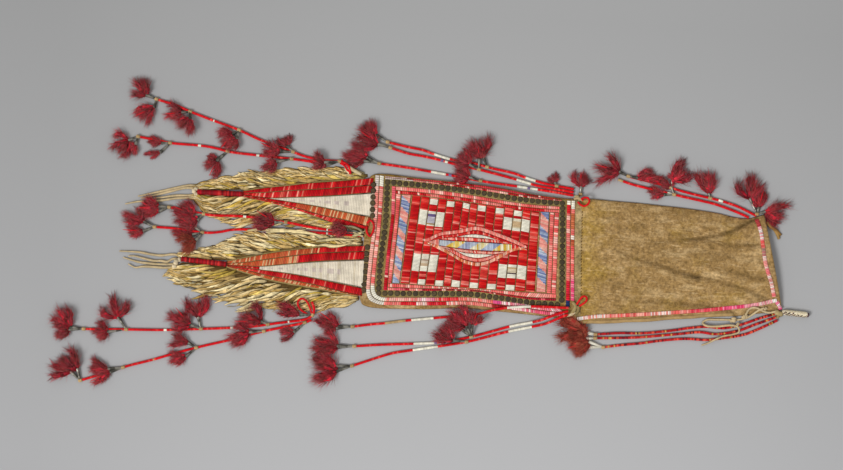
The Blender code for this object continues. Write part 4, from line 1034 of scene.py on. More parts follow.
# Folds of the pouch, each from the mouth inwards: its line, depth and half width.
FOLDS = [
    ([(324, 57), (313, 51), (298, 41.6), (282, 36), (262, 30.5), (235, 26.6), (205, 21)], 3.4, 3.2),
    ([(330, 27.7), (313, 27), (298, 26.5), (266, 28.8), (239, 30.5)], 2.2, 2.8),
    ([(335, -10.5), (321, -8.7), (307, -6.9), (285, -3), (269, 4)], 1.7, 3.2),
    ([(344, -35), (322, -26), (301, -20), (275, -14.7), (252, -12.6)], 2.1, 3.2),
    ([(262, -14.5), (249, -12.4), (223, -5), (191, 2), (168, 9.5)], 2.9, 3.4),
    ([(302, -50), (273, -47.5), (240, -46), (210, -45), (180, -44)], 2, 4.2),
    ([(300, 12), (262, 16), (222, 12), (180, 20)], 0.9, 7),
]
FOLD_END = 0.25  # the share of its depth that is left at its inner end
CREST = 0.7  # the swell below a fold, against its depth
FOLD_DARKNESS_WIDE = 0.75  # how wide the darkening along a fold is, against the fold
DEEPEST = 3.4  # the fold whose darkening is full
RIPPLE_HIGH, RIPPLE_LONG = 0.5, 24.0  # the small unevenness of the skin
FOLD_LINES = [[Vector(point) for point in line] for line, depth, width in FOLDS]


def clamp(value):
    return max(0.0, min(1.0, value))


def folded(x, y):
    """How far the folds raise or lower the upper wall, and how much darker they make it."""
    spot = Vector((x, y))
    lift, darkening_along_folds = RIPPLE_HIGH * noise.noise(Vector((x, y * 1.4, 0)) / RIPPLE_LONG), 0.0
    for line, (_, depth, width) in zip(FOLD_LINES, FOLDS):
        best, share, above = 1e9, 0.0, 1.0
        for i, (a, b) in enumerate(zip(line, line[1:])):
            t = clamp((spot - a).dot(b - a) / (b - a).length_squared)
            away = spot - a.lerp(b, t)
            if away.length < best:
                best, share = away.length, (i + t) / (len(line) - 1)
                above = 1.0 if (b - a).cross(away) < 0 else -1.0
        strength = 1 + (FOLD_END - 1) * share
        crest = math.exp(-(((best * above + 2.0 * width) / (1.6 * width)) ** 2))
        lift += depth * strength * (CREST * crest - math.exp(-((best / width) ** 2)))
        darkening_along_folds += depth / DEEPEST * strength * math.exp(-((best / (width * FOLD_DARKNESS_WIDE)) ** 2))
    return lift, darkening_along_folds


print("the pouch has", len(FOLDS), "folds, the deepest", max(depth for _, depth, _ in FOLDS), "mm")

# %% [markdown]
# The envelope is lofted from loops round the bag: up over the upper wall, back under the lower
# one, then over the rim and along the inside, so that the mouth is truly open. Its points stand
# closer at both edges, where the wall turns over.

# %% The hide envelope
EDGE_ROUND = 2.4  # rounding of the panel's edge
HIDE_STEP = 2.2  # between the loops
TOP_POINTS = 76
UNDER_POINTS = 20
EDGE_CROWDING = 0.35  # 0 spaces the points evenly
UNDERSIDE = 0.1  # over the ground
MOUTH_GAP = 0.15  # the least opening between the walls
POCKET_START = POUCH_START + 20  # how far in the pouch is open


def rounded(share, width):
    """How much of its height an edge has at a share of the width, on a quarter of a circle."""
    edge = min(1.0, min(share, 1 - share) * width / EDGE_ROUND)
    return math.sqrt(max(0.0, 1 - (1 - edge) ** 2))


def hide_top(x, y, share, width):
    """Height of the upper wall's outer face at a share of the bag's width, and how dark its folds
    are.
    """
    swell = clamp((x - POUCH_START) / POUCH_SWELL)
    swell = swell * swell * (3 - 2 * swell)
    flat = PANEL_HEIGHT / 2 * (1 + rounded(share, width))
    if swell == 0.0:
        return flat, 0.0
    lift, fold_darkness = folded(x, y)
    dome = math.sin(math.pi * clamp(share)) ** POUCH_ROUNDING
    pouch = HEM_HEIGHT / 2 + (POUCH_HEIGHT - HEM_HEIGHT / 2) * dome + lift * dome
    return flat + (pouch - flat) * swell, fold_darkness * swell


def hide_under(x, share, width):
    """Height of the lower wall, which rounds up to the seam at both edges."""
    rise = PANEL_HEIGHT / 2 if x < POUCH_START else HEM_HEIGHT / 2
    return UNDERSIDE + rise * (1 - rounded(share, width))


def eased(count):
    """Shares from 0 to 1, closer together at both ends."""
    shares = [i / (count - 1) for i in range(count)]
    even = 1 - EDGE_CROWDING
    return [even * t + EDGE_CROWDING * (0.5 - 0.5 * math.cos(math.pi * t)) for t in shares]


upper_edge = evenly(smooth_path([(*upper, 0) for upper, lower in SIDES]), HIDE_STEP)
lower_edge = smooth_path([(*lower, 0) for upper, lower in SIDES])
lower_long, steps = path_length(lower_edge), len(upper_edge) - 1
lower_edge = [along(lower_edge, lower_long * i / steps)[0] for i in range(steps + 1)]
darkening_along_folds = []


def hide_loop(upper, lower, inside):
    """The points round the bag between two places on its edges, outside or inside the walls."""
    width = (upper - lower).length
    wall = HIDE if inside else 0.0
    margin = SEAM / width if inside else 0.0
    ring = []
    for share in eased(TOP_POINTS):
        share = margin + (1 - 2 * margin) * share
        spot = lower.lerp(upper, share)
        height, fold_darkness = hide_top(spot.x, spot.y, share, width)
        darkening_along_folds.append(fold_darkness)
        height = max(height - wall, wall + MOUTH_GAP if inside else 0.0)
        ring.append((spot.x, spot.y, height))
    for share in reversed(eased(UNDER_POINTS + 2)[1:-1]):
        share = margin + (1 - 2 * margin) * share
        spot = lower.lerp(upper, share)
        ring.append((spot.x, spot.y, hide_under(spot.x, share, width) + wall))
        darkening_along_folds.append(0.0)
    return ring


outside = [hide_loop(upper, lower, False) for upper, lower in zip(upper_edge, lower_edge)]
pocket = [pair for pair in zip(upper_edge, lower_edge) if pair[0].x > POCKET_START]
inside = [hide_loop(upper, lower, True) for upper, lower in reversed(pocket)]
envelope = Work()
envelope.loft(outside + inside, [linear("FFFFFF")] * (len(outside) + len(inside) - 1))
print("the envelope has", len(envelope.faces), "faces")

# %% [markdown]
# Smoked buckskin is khaki brown, and this bag is old. Yellow earth was rubbed in beside the
# panel, the nap is worn pale in streaks, and fine scratches run across it. The colour is built
# layer on layer, as the soiling of a real bag was. A table says for each layer its dye and where
# it shows, which is a product of ramps over noises, over the distance to the sewn line, or over
# how much darker the folds are drawn. Last comes the grain of the nap, in the tone and in the
# relief.

# %% Layers of the smoked hide
OCHRE_PATCH = 45.0
WORN_STREAK = 13.0
MOTTLE = 9.0
HIDE_NAP = 3.2  # coarser than the real nap of 0.5, which would not show
SCRATCH = 1.6
STRIP_AT, SEWN_AT = 118.5 * MM, 126.9 * MM  # the bare strip beside the panel, and its sewn end
SEWN_SLANT = 0.058  # how much the sewn line slants
OCHRE_REACH = 26.0 * MM  # how far the strong ochre runs from the sewn line
# The noises: size, detail and roughness, then how they are turned and drawn out.
HIDE_NOISES = {
    "patch": (OCHRE_PATCH, 4, 0.6), "mottle": (MOTTLE, 5, 0.7), "nap": (HIDE_NAP, 5, 0.75),
    "scratch": (SCRATCH, 3, 0.5, 0.85, 0.13), "worn": (WORN_STREAK, 5, 0.65, 0.75, 0.35),
}
# Each layer's dye, then its ramps: a pattern, where the ramp starts and stops, and its two ends.
HIDE_LAYERS = (
    ("967731", ("patch", 0.5, 0.68, 0, 0.85)),
    (
        "A6853A", ("mottle", 0.3, 0.55, 0.45, 1),
        ("lengthwise", SEWN_AT - 0.3 * MM, SEWN_AT + 0.3 * MM, 0, 1),
        ("lengthwise", SEWN_AT + 5 * MM, SEWN_AT + OCHRE_REACH, 0.75, 0),
    ),
    (
        "93825C", ("lengthwise", STRIP_AT, STRIP_AT + 1 * MM, 0, 1),
        ("lengthwise", SEWN_AT - 1 * MM, SEWN_AT, 0.8, 0),
    ),
    ("BF9F70", ("mottle", 0.5, 0.74, 0, 0.75)), ("755A32", ("mottle", 0.46, 0.28, 0, 0.8)),
    ("CBAD7E", ("worn", 0.52, 0.72, 0, 0.75)), ("7C6238", ("worn", 0.44, 0.28, 0, 0.45)),
    ("D0B183", ("scratch", 0.6, 0.7, 0, 0.5)), ("7A6038", ("scratch", 0.4, 0.3, 0, 0.4)),
    # The last layer darkens the hide along the folds.
    ("46351C", ("fold_darkness", 0, 2, 0, 1.7)),
)
NAP_TONES = (0.5, 1.52)  # of the darkest and the lightest grain
print(len(HIDE_LAYERS), "layers of colour from", len(HIDE_NOISES), "noises")

# %% [markdown]
# The nodes follow the tables. Each pattern is made once, and each layer is mixed over the ones
# before it.

# %% Smoked hide material
SMOKED_HIDE, tree, shader = start_material("smoked_buckskin_worn", 0.95, ior=1.45, gloss=0.05)
place = add_node(tree, "ShaderNodeTexCoord", {}).outputs["Object"]
apart = add_node(tree, "ShaderNodeSeparateXYZ", {"Vector": place})
lengthwise = add_node(tree, "ShaderNodeMath", {
    0: apart.outputs["Y"], 1: SEWN_SLANT, 2: apart.outputs["X"],
}, operation="MULTIPLY_ADD")
fold_darkness = add_node(tree, "ShaderNodeAttribute", {}, attribute_name="fold_darkness")
patterns = {"lengthwise": lengthwise.outputs["Value"], "fold_darkness": fold_darkness.outputs["Fac"]}
for name, (size, detail, roughness, *drawn) in HIDE_NOISES.items():
    spot = place
    if drawn:
        turned = {"Vector": place, "Rotation": (0, 0, drawn[0]), "Scale": (drawn[1], 1, 1)}
        spot = add_node(tree, "ShaderNodeMapping", turned).outputs["Vector"]
    patterns[name] = add_node(tree, "ShaderNodeTexNoise", {
        "Vector": spot, "Scale": pattern_scale(size), "Detail": detail, "Roughness": roughness,
    }).outputs["Fac"]
colour = linear("98794C")
for dye, *ramps in HIDE_LAYERS:
    share = 1.0
    for pattern, start, stop, low, high in ramps:
        ramp = add_node(tree, "ShaderNodeMapRange", {
            "Value": patterns[pattern], "From Min": start, "From Max": stop,
            "To Min": low, "To Max": high,
        })
        share = add_node(tree, "ShaderNodeMath", {
            0: share, 1: ramp.outputs["Result"],
        }, operation="MULTIPLY").outputs["Value"]
    colour = add_node(tree, "ShaderNodeMix", {
        "Factor": share, "A": colour, "B": linear(dye),
    }, data_type="RGBA").outputs["Result"]
grain = add_node(tree, "ShaderNodeMapRange", {
    "Value": patterns["nap"], "From Min": 0.3, "From Max": 0.7,
    "To Min": NAP_TONES[0], "To Max": NAP_TONES[1],
})
grained = add_node(tree, "ShaderNodeVectorMath", {
    "Vector": colour, "Scale": grain.outputs["Result"],
}, operation="SCALE")
fine = add_node(tree, "ShaderNodeBump", {
    "Height": patterns["nap"], "Strength": 0.8, "Distance": 0.9 * MM,
})
coarse = add_node(tree, "ShaderNodeBump", {
    "Height": patterns["mottle"], "Strength": 0.5, "Distance": 1.4 * MM,
    "Normal": fine.outputs["Normal"],
})
tree.links.new(grained.outputs["Vector"], shader.inputs["Base Color"])
tree.links.new(coarse.outputs["Normal"], shader.inputs["Normal"])

hide = envelope.finish("hide_envelope", SMOKED_HIDE, "smoked_hide")
fold_darkness = hide.data.attributes.new("fold_darkness", "FLOAT", "POINT")
fold_darkness.data.foreach_set("value", darkening_along_folds)
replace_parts(hide, "bag_hide")
print("the hide has", len(HIDE_LAYERS), "layers of colour, and dirt up to", round(max(darkening_along_folds), 2))

# %% [markdown]
# Quillwork is sewn in lanes. Each flattened quill crosses its lane and is folded under at both
# stitched edges, so a lane is a row of small pillows, and two lanes meet in a dark groove. A bump
# map can't give the scalloped edges that show at an angle, so every quill is modelled. A lane
# lies between two lines, and the ends of its quills are found at shares of the lines' lengths.

# %% Points along the lines of a lane
def flat_line(points):
    return smooth_path([(x, y, 0) for x, y in points])


def points_at(path, shares, guide=None):
    """The points at rising shares of a path's length, or of a guide's that has as many points."""
    guide = guide or path
    length = path_length(guide)
    made, run, here = [], 0.0, 0
    for share in shares:
        step = (guide[here + 1] - guide[here]).length
        while here < len(guide) - 2 and run + step < length * share:
            run += step
            here += 1
            step = (guide[here + 1] - guide[here]).length
        made.append(path[here].lerp(path[here + 1], min(1.0, (length * share - run) / step)))
    return made


halfway = points_at([Vector((0, 0, 0)), Vector((4, 0, 0)), Vector((10, 0, 0))], [0.5])
print("halfway along a line of 10 mm is", halfway[0].x)

# %% [markdown]
# A lane is lofted from one cross-section after another, with a valley between each two quills.
# The painted light on the quills' tops and the painted shade between the quills and in the
# stitched edges are part of the dye of their faces.

# %% Helper for quilled lanes
QUILL_HEIGHT = 1.0
VALLEY_HEIGHT = 0.5  # between two quills, as a share of their height
LANE_GAP = 0.28  # from a lane's line to its quills
# Shares across a lane and of its height: tucked under at the edges and full in the middle.
PILLOW = (
    (0, 0), (0.045, 0.55), (0.15, 0.9), (0.38, 1), (0.62, 1), (0.85, 0.9), (0.955, 0.55), (1, 0),
)
# Along the lane: where a quill's points lie, how high, and the painted light and shade of the
# face after each.
QUILL_STATIONS = ((0, VALLEY_HEIGHT, 0.6), (0.14, 0.88, 1.1), (0.5, 1, 1.02), (0.86, 0.88, 0.55))
QUILL_FULL = (0.88, 1.06)  # how much one quill may be flatter or fuller than another
EDGE_SHADE = 0.5  # painted shade in the stitched edges of a lane


# Scales a dye by painted light and shade.
def with_painted_light(dye, share):
    return (*[part * share for part in dye[:3]], 1.0)


def quill_lane(work, one, two, pitch, colour_at, base, dice, **shape):
    """A lane between two lines, with a quill across it every pitch.

    colour_at is asked for the share along and across the lane, the quill's number and a number
    by chance. base is a height or a rule for it. shape may hold:
    profile and height, of the quills' cross-section;
    slant, how much farther along a quill's second end lies;
    matched, so that the points of both lines stand opposite each other, as round a corner;
    relief, how strongly the painted light and shade between the quills show.
    """
    profile, height = shape.get("profile", PILLOW), shape.get("height", QUILL_HEIGHT)
    length = (path_length(one) + path_length(two)) / 2
    lean = shape.get("slant", 0.0) / length
    reach = 1 + abs(lean)
    count = max(1, round(length * reach / pitch))
    places, heights = [], []
    for quill in range(count):
        full = dice.uniform(*QUILL_FULL)
        for share, high, _ in QUILL_STATIONS:
            nudge = dice.uniform(-0.08, 0.08) if quill and not share else 0.0
            places.append((quill + share + nudge) / count * reach)
            heights.append(high * full)
    places.append(reach)
    heights.append(VALLEY_HEIGHT)
    late, early = max(0.0, lean), max(0.0, -lean)
    guide = [a.lerp(b, 0.5) for a, b in zip(one, two)] if shape.get("matched") else None
    ends_one = points_at(one, [clamp(place - late) for place in places], guide)
    ends_two = points_at(two, [clamp(place - early) for place in places], guide)
    rings, dyes = [], []
    tones = [dice.random() for _ in range(count)]
    for i, (a, b) in enumerate(zip(ends_one, ends_two)):
        ring = []
        gap = min(0.3, LANE_GAP / max(1.0, (b - a).length))
        for across, high in profile:
            spot = a.lerp(b, gap + (1 - 2 * gap) * across)
            under = base(spot.x) if callable(base) else base
            ring.append((spot.x, spot.y, under + height * high * heights[i]))
        rings.append(ring)
        quill, station = divmod(i, len(QUILL_STATIONS))
        if quill < count:
            # Painted light on each quill's top and painted shade in the valley between two quills.
            light = 1 + shape.get("relief", 1.0) * (QUILL_STATIONS[station][2] - 1)
            middle = (quill + 0.5) / count
            row = [
                with_painted_light(colour_at(middle, (p[0] + q[0]) / 2, quill, tones[quill]), light)
                for p, q in zip(profile, profile[1:])
            ]
            # Painted shade on the outermost faces, where the quills tuck under the stitched edges.
            row[0], row[-1] = with_painted_light(row[0], EDGE_SHADE), with_painted_light(row[-1], EDGE_SHADE)
            dyes.append([*row, row[0]])
    work.loft(rings, dyes)


print("a lane has", len(PILLOW) * len(QUILL_STATIONS), "points for each quill")

# %% [markdown]
# The colour of a lane is a rule, asked for every quill. The rule gets a number by chance, so that
# two quills of one dye differ a little, and a slow noise gives runs of a few alike.

# %% Dyes by rule
def toned(code, tone, spread):
    """A dye made darker or lighter by a quill's number by chance."""
    return linear(code, 1 + (2 * tone - 1) * spread)


def picked(codes, pick):
    """The dye at a share of a list."""
    return codes[int(max(0.0, min(0.999, pick)) * len(codes))]


def mixed_lane(codes, run, seed, flecks=0.12, fleck="F6BCAC"):
    """Quills in runs of a few alike, as when the maker took them from one bundle after another."""

    def colour_at(share, across, quill, tone):
        if tone > 1 - flecks:
            return toned(fleck, tone * 7 % 1, 0.1)
        pick = noise.noise(Vector((quill / run, seed * 7.3, 0.5))) * 1.1 + 0.5
        return toned(picked(codes, pick), tone * 5 % 1, 0.12)

    return colour_at


print("a quill's dye by chance:", [round(toned("808080", tone, 0.1)[0], 3) for tone in (0, 1)])

# %% [markdown]
# The field has fifteen lanes that run across the bag. The ground is red, faded to pink in
# places. A row of small white squares stands at both ends of every second lane, and a block of
# three lanes near each corner: white, with stripes of purple, grey or tan in its middle lane. The
# pattern is a rule for each quill, from its lane and its distance from the lane's ends.

# %% Pattern of the field
FIELD_LANES = 15
SQUARE_TOP = (1.6, 8.2)  # from a lane's upper end
SQUARE_FOOT = (0.6, 6.9)  # from its lower end
DEEP_REDS = ("BE0A10", "CA0E12", "B2080E", "D41814")
FADED_REDS = ("E04438", "EC6A5C", "D8342C", "F08E80")
WHITE_QUILL = "ECE6D2"
# For each block: its middle lane, the end it is measured from, its start and end, and the
# stripes of its middle lane as shares of its length.
BLOCKS = [
    (
        3, "top", 15.5, 32.5,
        ((0.16, "ECE6D2"), (0.36, "6E5C88"), (0.84, "BDB6BE"), (0.88, "A5875A"), (1, "ECE6D2")),
    ),
    (13, "top", 10.3, 25, ((0.22, "E6DCC0"), (0.72, "CDAE84"), (0.82, "D8C7A2"), (1, "ECE6D2"))),
    (
        13, "foot", 14, 30,
        ((0.3, "ECE6D2"), (0.36, "5A4A4A"), (0.7, "DCCBAA"), (0.8, "BFA070"), (1, "ECE6D2")),
    ),
    (
        3, "foot", 15.4, 36,
        ((0.3, "ECE6D2"), (0.42, "C2A888"), (0.62, "D8C8B0"), (0.68, "B89A84"), (1, "E6DCC6")),
    ),
]
FADED_PATCH, FADED_FLECK = 5.6, 2.2  # how far apart the faded parts lie
SQUARE_SPREAD = 0.06  # how much white quills differ


def field_colour(lane, length):
    number = lane + 1

    def colour_at(share, across, quill, tone):
        top, foot = share * length, (1 - share) * length
        if number % 2 and 1 < number < FIELD_LANES:
            if SQUARE_TOP[0] < top < SQUARE_TOP[1] or SQUARE_FOOT[0] < foot < SQUARE_FOOT[1]:
                return toned(WHITE_QUILL, tone, SQUARE_SPREAD)
        for middle_lane, end, start, stop, stripes in BLOCKS:
            here = top if end == "top" else foot
            if abs(number - middle_lane) > 1 or not start < here < stop:
                continue
            if number != middle_lane:
                return toned(WHITE_QUILL, tone, SQUARE_SPREAD)
            down = (here - start) / (stop - start)
            return toned(next(code for limit, code in stripes if down <= limit), tone, 0.08)
        fade = noise.noise(Vector((lane * 2.7, top / FADED_PATCH, 0)))
        fade += 0.4 * noise.noise(Vector((lane * 9.1, top / FADED_FLECK, 4)))
        if fade > 0.14 or (fade > 0.0 and tone > 0.75):
            return toned(FADED_REDS[int(tone * 31) % len(FADED_REDS)], tone * 3 % 1, 0.1)
        return toned(DEEP_REDS[int(tone * 3.99)], tone * 5 % 1, 0.12)

    return colour_at


print("every second of", FIELD_LANES, "lanes has squares, and there are", len(BLOCKS), "blocks")

# %% [markdown]
# The lanes were sewn one after another by eye, so none is as wide as the next, and each narrows
# or widens from end to end. Their widths are given at both ends, and each lane is laid between
# its own two lines.

# %% The quilled field
QUILL_NARROW = 1.55  # in the field
FIELD = [(-71.6, 57.2), (75.5, 47.6), (76.6, -44), (-78.4, -44.7)]
# The lanes' widths at both ends.
LANES_ABOVE = (10.4, 10.4, 10.0, 9.8, 9.5, 9.1, 8.5, 8.8, 10.0, 10.9, 10.2, 11.0, 10.0, 9.8, 10.0)
LANES_BELOW = (10.4, 9.1, 9.0, 10.7, 10.0, 8.8, 10.4, 10.5, 10.4, 9.5, 10.9, 10.4, 11.2, 12.1, 11.2)
ON_HIDE = 5.5  # the underside of everything sewn on the panel
FIELD_SLANT = (-0.5, 0.9)  # how unevenly the quills cross their lanes


def running_shares(widths):
    """The shares of a whole at which its parts begin and end."""
    return [sum(widths[:i]) / sum(widths) for i in range(len(widths) + 1)]


dice = random.Random(41)
work = Work()
corners = [Vector((*corner, 0)) for corner in FIELD]
tops = [corners[0].lerp(corners[1], share) for share in running_shares(LANES_ABOVE)]
feet = [corners[3].lerp(corners[2], share) for share in running_shares(LANES_BELOW)]
for lane in range(FIELD_LANES):
    one, two = [tops[lane], feet[lane]], [tops[lane + 1], feet[lane + 1]]
    rule, slant = field_colour(lane, path_length(one)), dice.uniform(*FIELD_SLANT)
    quill_lane(work, one, two, QUILL_NARROW, rule, ON_HIDE, dice, slant=slant)
field = work.finish("quilled_field", QUILL, "red_quill")
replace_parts(field, "quill_field")
print("the field has", len(work.faces), "faces")

# %% [markdown]
# The two striped bands are plaited, not laid straight across. Long triangles of blue and of pink
# quills meet along slanting lines. They are lanes of the same kind with more points across them,
# and the rule compares the distance along the band with the distance across it.

# %% The striped bands
# Each band's corners, the places along its first side where the colour changes, and the first dye.
STRIPED = {
    "tab_end_striped_band": (
        [(-84.2, 56.6), (-72.4, 57.2), (-78.9, -44.8), (-88, -45.2)],
        (0.0, 12.4, 24.4, 36.5, 45.0, 57.8, 67.6, 79.0, 90.0), "pink",
    ),
    "mouth_end_striped_band": (
        [(76.2, 48), (87, 48.4), (89.3, -43.4), (77.4, -44)],
        (0.0, 14.5, 26.0, 39.0, 50.5, 61.0, 74.0), "blue",
    ),
}
STRIPE_FALL = 10.6  # how much farther down a stripe is at the second side
BLUES = ("98A2C2", "8490B6", "BCC2D2", "A4B2C4", "6E7CA8", "CCCED2", "9CAAC4")
PINKS = ("F0A292", "EC8E82", "F3B8A4", "F0A898")
STREAK_SLANT = 3.2  # how much the quills themselves slant
BAND_QUILL = 1.4
FINE_STEPS = 14  # points across, so that a change of dye may slant
FINE_PILLOW = [(0.0, 0.0), *(
    (t / FINE_STEPS, min(1.0, 0.5 + 0.5 * math.sin(math.pi * t / FINE_STEPS) ** 0.4))
    for t in range(1, FINE_STEPS)
), (1, 0)]


def striped_colour(length, changes, first):
    def colour_at(share, across, quill, tone):
        place = share * (length + STREAK_SLANT) - STREAK_SLANT * (1 - across)
        place -= across * STRIPE_FALL
        passed = sum(place > change for change in changes)
        if (passed % 2 == 0) == (first == "blue"):
            return toned(BLUES[(quill * 5 + int(tone * 3)) % len(BLUES)], tone, 0.1)
        return toned(PINKS[(quill * 3 + int(tone * 2)) % len(PINKS)], tone, 0.06)

    return colour_at


for name, (quad, changes, first) in STRIPED.items():
    work = Work()
    one = [Vector((*quad[0], 0)), Vector((*quad[3], 0))]
    two = [Vector((*quad[1], 0)), Vector((*quad[2], 0))]
    rule = striped_colour(path_length(one), changes, first)
    shape = {"profile": FINE_PILLOW, "slant": STREAK_SLANT}
    quill_lane(work, one, two, BAND_QUILL, rule, ON_HIDE, dice, **shape)
    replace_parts(work.finish(name.replace("band", "quills"), QUILL, "striped_quill"), name)
print(len(STRIPED), "striped bands")

# %% [markdown]
# The borders are wider quills in two lanes. They follow the sides of the panel, which isn't a
# true rectangle: it bows in along the lower side and tapers towards the mouth. Each lane is drawn
# between two lines, and neighbours share a line. The lines of one side have the same number of
# points, so that the quills can fan round the corner at the tab end.

# %% Lines of the quilled borders
INNER_TOP = (
    [(-90.6, 66), (-63.5, 65.5), (-28.5, 64), (6, 61), (35, 58), (64, 56), (98, 56)],
    [(-90.6, 61.3), (-63, 60.7), (-28.5, 59.2), (6.5, 56.7), (35.5, 54), (64.5, 52.2), (98, 52.2)],
    [(-90.6, 57.2), (-62.5, 57), (-28, 55.2), (6.5, 52.6), (35.5, 50.4), (64.5, 48.4), (98, 48.4)],
)
INNER_FOOT = (
    [
        (-92.2, -45.6), (-44, -45.2), (-21, -45), (13.5, -45), (42.5, -44.8), (76, -44.9),
        (101, -44.6),
    ],
    [
        (-92.2, -50.4), (-44, -48.6), (-21, -47.4), (13.5, -46.8), (42.5, -49), (71.5, -50.5),
        (101, -49.5),
    ],
    [
        (-92.2, -54.2), (-43.5, -51.6), (-21, -49.6), (14, -48.8), (43, -51.2), (72, -53.4),
        (101, -52.8),
    ],
)
INNER_TAB_END = (
    [(-96, 65.6), (-94.6, 31), (-95.8, 5), (-97, -24), (-97.4, -54)],
    [(-90.8, 65.6), (-90, 31), (-91.2, 5), (-92.4, -24), (-92.6, -54)],
    [(-90.4, 57), (-89.8, 31), (-91, 5), (-92.2, -24), (-92.8, -45.4)],
    [(-84.6, 57), (-85.2, 31), (-86.2, 5), (-87.4, -24), (-88.4, -45.4)],
)
INNER_MOUTH_END = (
    [(87.4, 48.2), (88.2, 20), (89.2, -10), (89.8, -44.4)],
    [(92.6, 48.2), (93.2, 20), (94.4, -10), (95.2, -44.4)],
    [(98.2, 48.2), (98.8, 20), (99.8, -10), (100.8, -44.4)],
)
OUTER_TAB_END = (
    [
        (-115.8, 77), (-114.6, 26), (-116.8, -23), (-117.4, -49), (-117, -58), (-112.6, -66.6),
        (-104, -70.4), (-96, -71.4),
    ],
    [
        (-110.6, 77), (-109.8, 26), (-111.8, -23), (-112.4, -49), (-111.6, -56.5), (-108.2, -62.8),
        (-101.6, -66), (-95, -66.8),
    ],
    [
        (-105.2, 76.6), (-104.8, 26), (-106.8, -23), (-107.2, -49), (-106.4, -55), (-104, -59.4),
        (-99.4, -61.6), (-94, -62),
    ],
)
OUTER_FOOT = (
    [
        (-94, -62), (-43, -58.6), (2.5, -55.2), (26, -56.2), (60.5, -58), (89.5, -60.4),
        (104.5, -60.4),
    ],
    [(-95, -66.8), (-43, -63.4), (3, -59.8), (26, -60.8), (61, -62.6), (90, -64.8), (112.5, -65.4)],
    [
        (-96, -71.4), (-42.5, -68.2), (3.5, -64.6), (26.5, -65.6), (61, -67.2), (90, -69.6),
        (113, -70.4),
    ],
)
OUTER_MOUTH_END = (
    [(105.8, 63.2), (107.2, 30), (110, -10), (112.8, -58.5)],
    [(110.6, 63.4), (112.2, 30), (114.8, -10), (117.8, -58.5)],
    [(110.8, 63.4), (112.4, 30), (115, -10), (117.8, -51)],
    [(115.6, 63.8), (117.2, 30), (119.6, -10), (122.6, -51)],
)
OUTER_TOP = (
    [
        (-104, 76.8), (-81, 76.4), (-40.5, 75.7), (-13, 74.8), (11.5, 73.4), (33.5, 71.4),
        (63.5, 67.8), (100, 64.4),
    ],
    [
        (-104, 74.9), (-81, 74.7), (-40.5, 73.4), (-13, 72), (11.5, 70.4), (33.5, 68.4),
        (63.5, 65.2), (100, 63.2),
    ],
    [
        (-104, 73), (-81, 73), (-40.5, 71.2), (-13, 69.2), (11.5, 67.4), (33.5, 65.4), (63.5, 62.8),
        (100, 62),
    ],
)
print("the outer border is", round(OUTER_FOOT[-1][-1][0] - OUTER_TAB_END[0][0][0]), "mm long")

# %% [markdown]
# The maker took quills from one dye pot after another, so a border runs in lengths of pink, rose,
# red and white, with odd quills between. Where the photograph shows the lengths they are given
# one by one. Elsewhere a slow noise picks the dye, which gives runs of a few alike.

# %% Dyes of the borders
PINK_DYES = ("E65A56", "EE726A", "F28478", "EC6A64", "F49A8C")
ROSE_DYES = ("EA7068", "D21C22", "BE1018", "E04A44", "EE8478")
CRIMSON_DYES = ("E8606A", "A8122A", "EE8478", "98142A", "B81828")
SCARLET_DYES = ("EA7068", "E04A54", "C81430", "BE1018", "E8606A")
SALMON_DYES = ("F08C7E", "F2A090", "EE786E", "F4AE9C")
DARK_DYES = ("A8101A", "C01620", "8E0C16", "C8303A")
BRICK_DYES = ("C8303A", "E0706A", "B0141C", "EC8A80")
NAVY = "1E2F5E"


def ends_in(colour_at, code, start=0.0, stop=0.0, last=None):
    """The same lane, with other quills over a share at its start and at its end."""

    def with_ends(share, across, quill, tone):
        if share < start:
            return toned(code, tone, SQUARE_SPREAD)
        if share > 1 - stop:
            return toned(last or code, tone, SQUARE_SPREAD)
        return colour_at(share, across, quill, tone)

    return with_ends


def sections(*parts):
    """A lane in lengths: the share at which each ends, and its dyes."""

    def colour_at(share, across, quill, tone):
        codes = next((codes for limit, codes in parts if share <= limit), parts[-1][1])
        return toned(codes[int(abs(tone) * 23) % len(codes)], tone, 0.08)

    return colour_at


print("the borders use", len({*PINK_DYES, *ROSE_DYES, *CRIMSON_DYES}), "pinks and reds")

# %% [markdown]
# Each border is one piece of quillwork. Along a side its lanes share their lines, and the quills
# of a lane stand opposite the points of both its lines, so they fan round the corner.

# %% The quilled borders
QUILL_WIDE = 2.5
QUILL_SLANT = 0.4


def quill_border(name, lanes):
    """A border of several lanes, each with its lines and its dyes."""
    work, shape = Work(), {"slant": QUILL_SLANT, "matched": True}
    for lines, rules in lanes:
        for one, two, rule in zip(lines, lines[1:], rules):
            one, two = flat_line(one), flat_line(two)
            quill_lane(work, one, two, QUILL_WIDE, rule, ON_HIDE, dice, **shape)
    made = work.finish(name + "_quills", QUILL, "pink_quill" if name == "inner" else "red_quill")
    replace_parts(made, name + "_quill_border")
    print("the", name, "border has", len(work.faces), "faces")


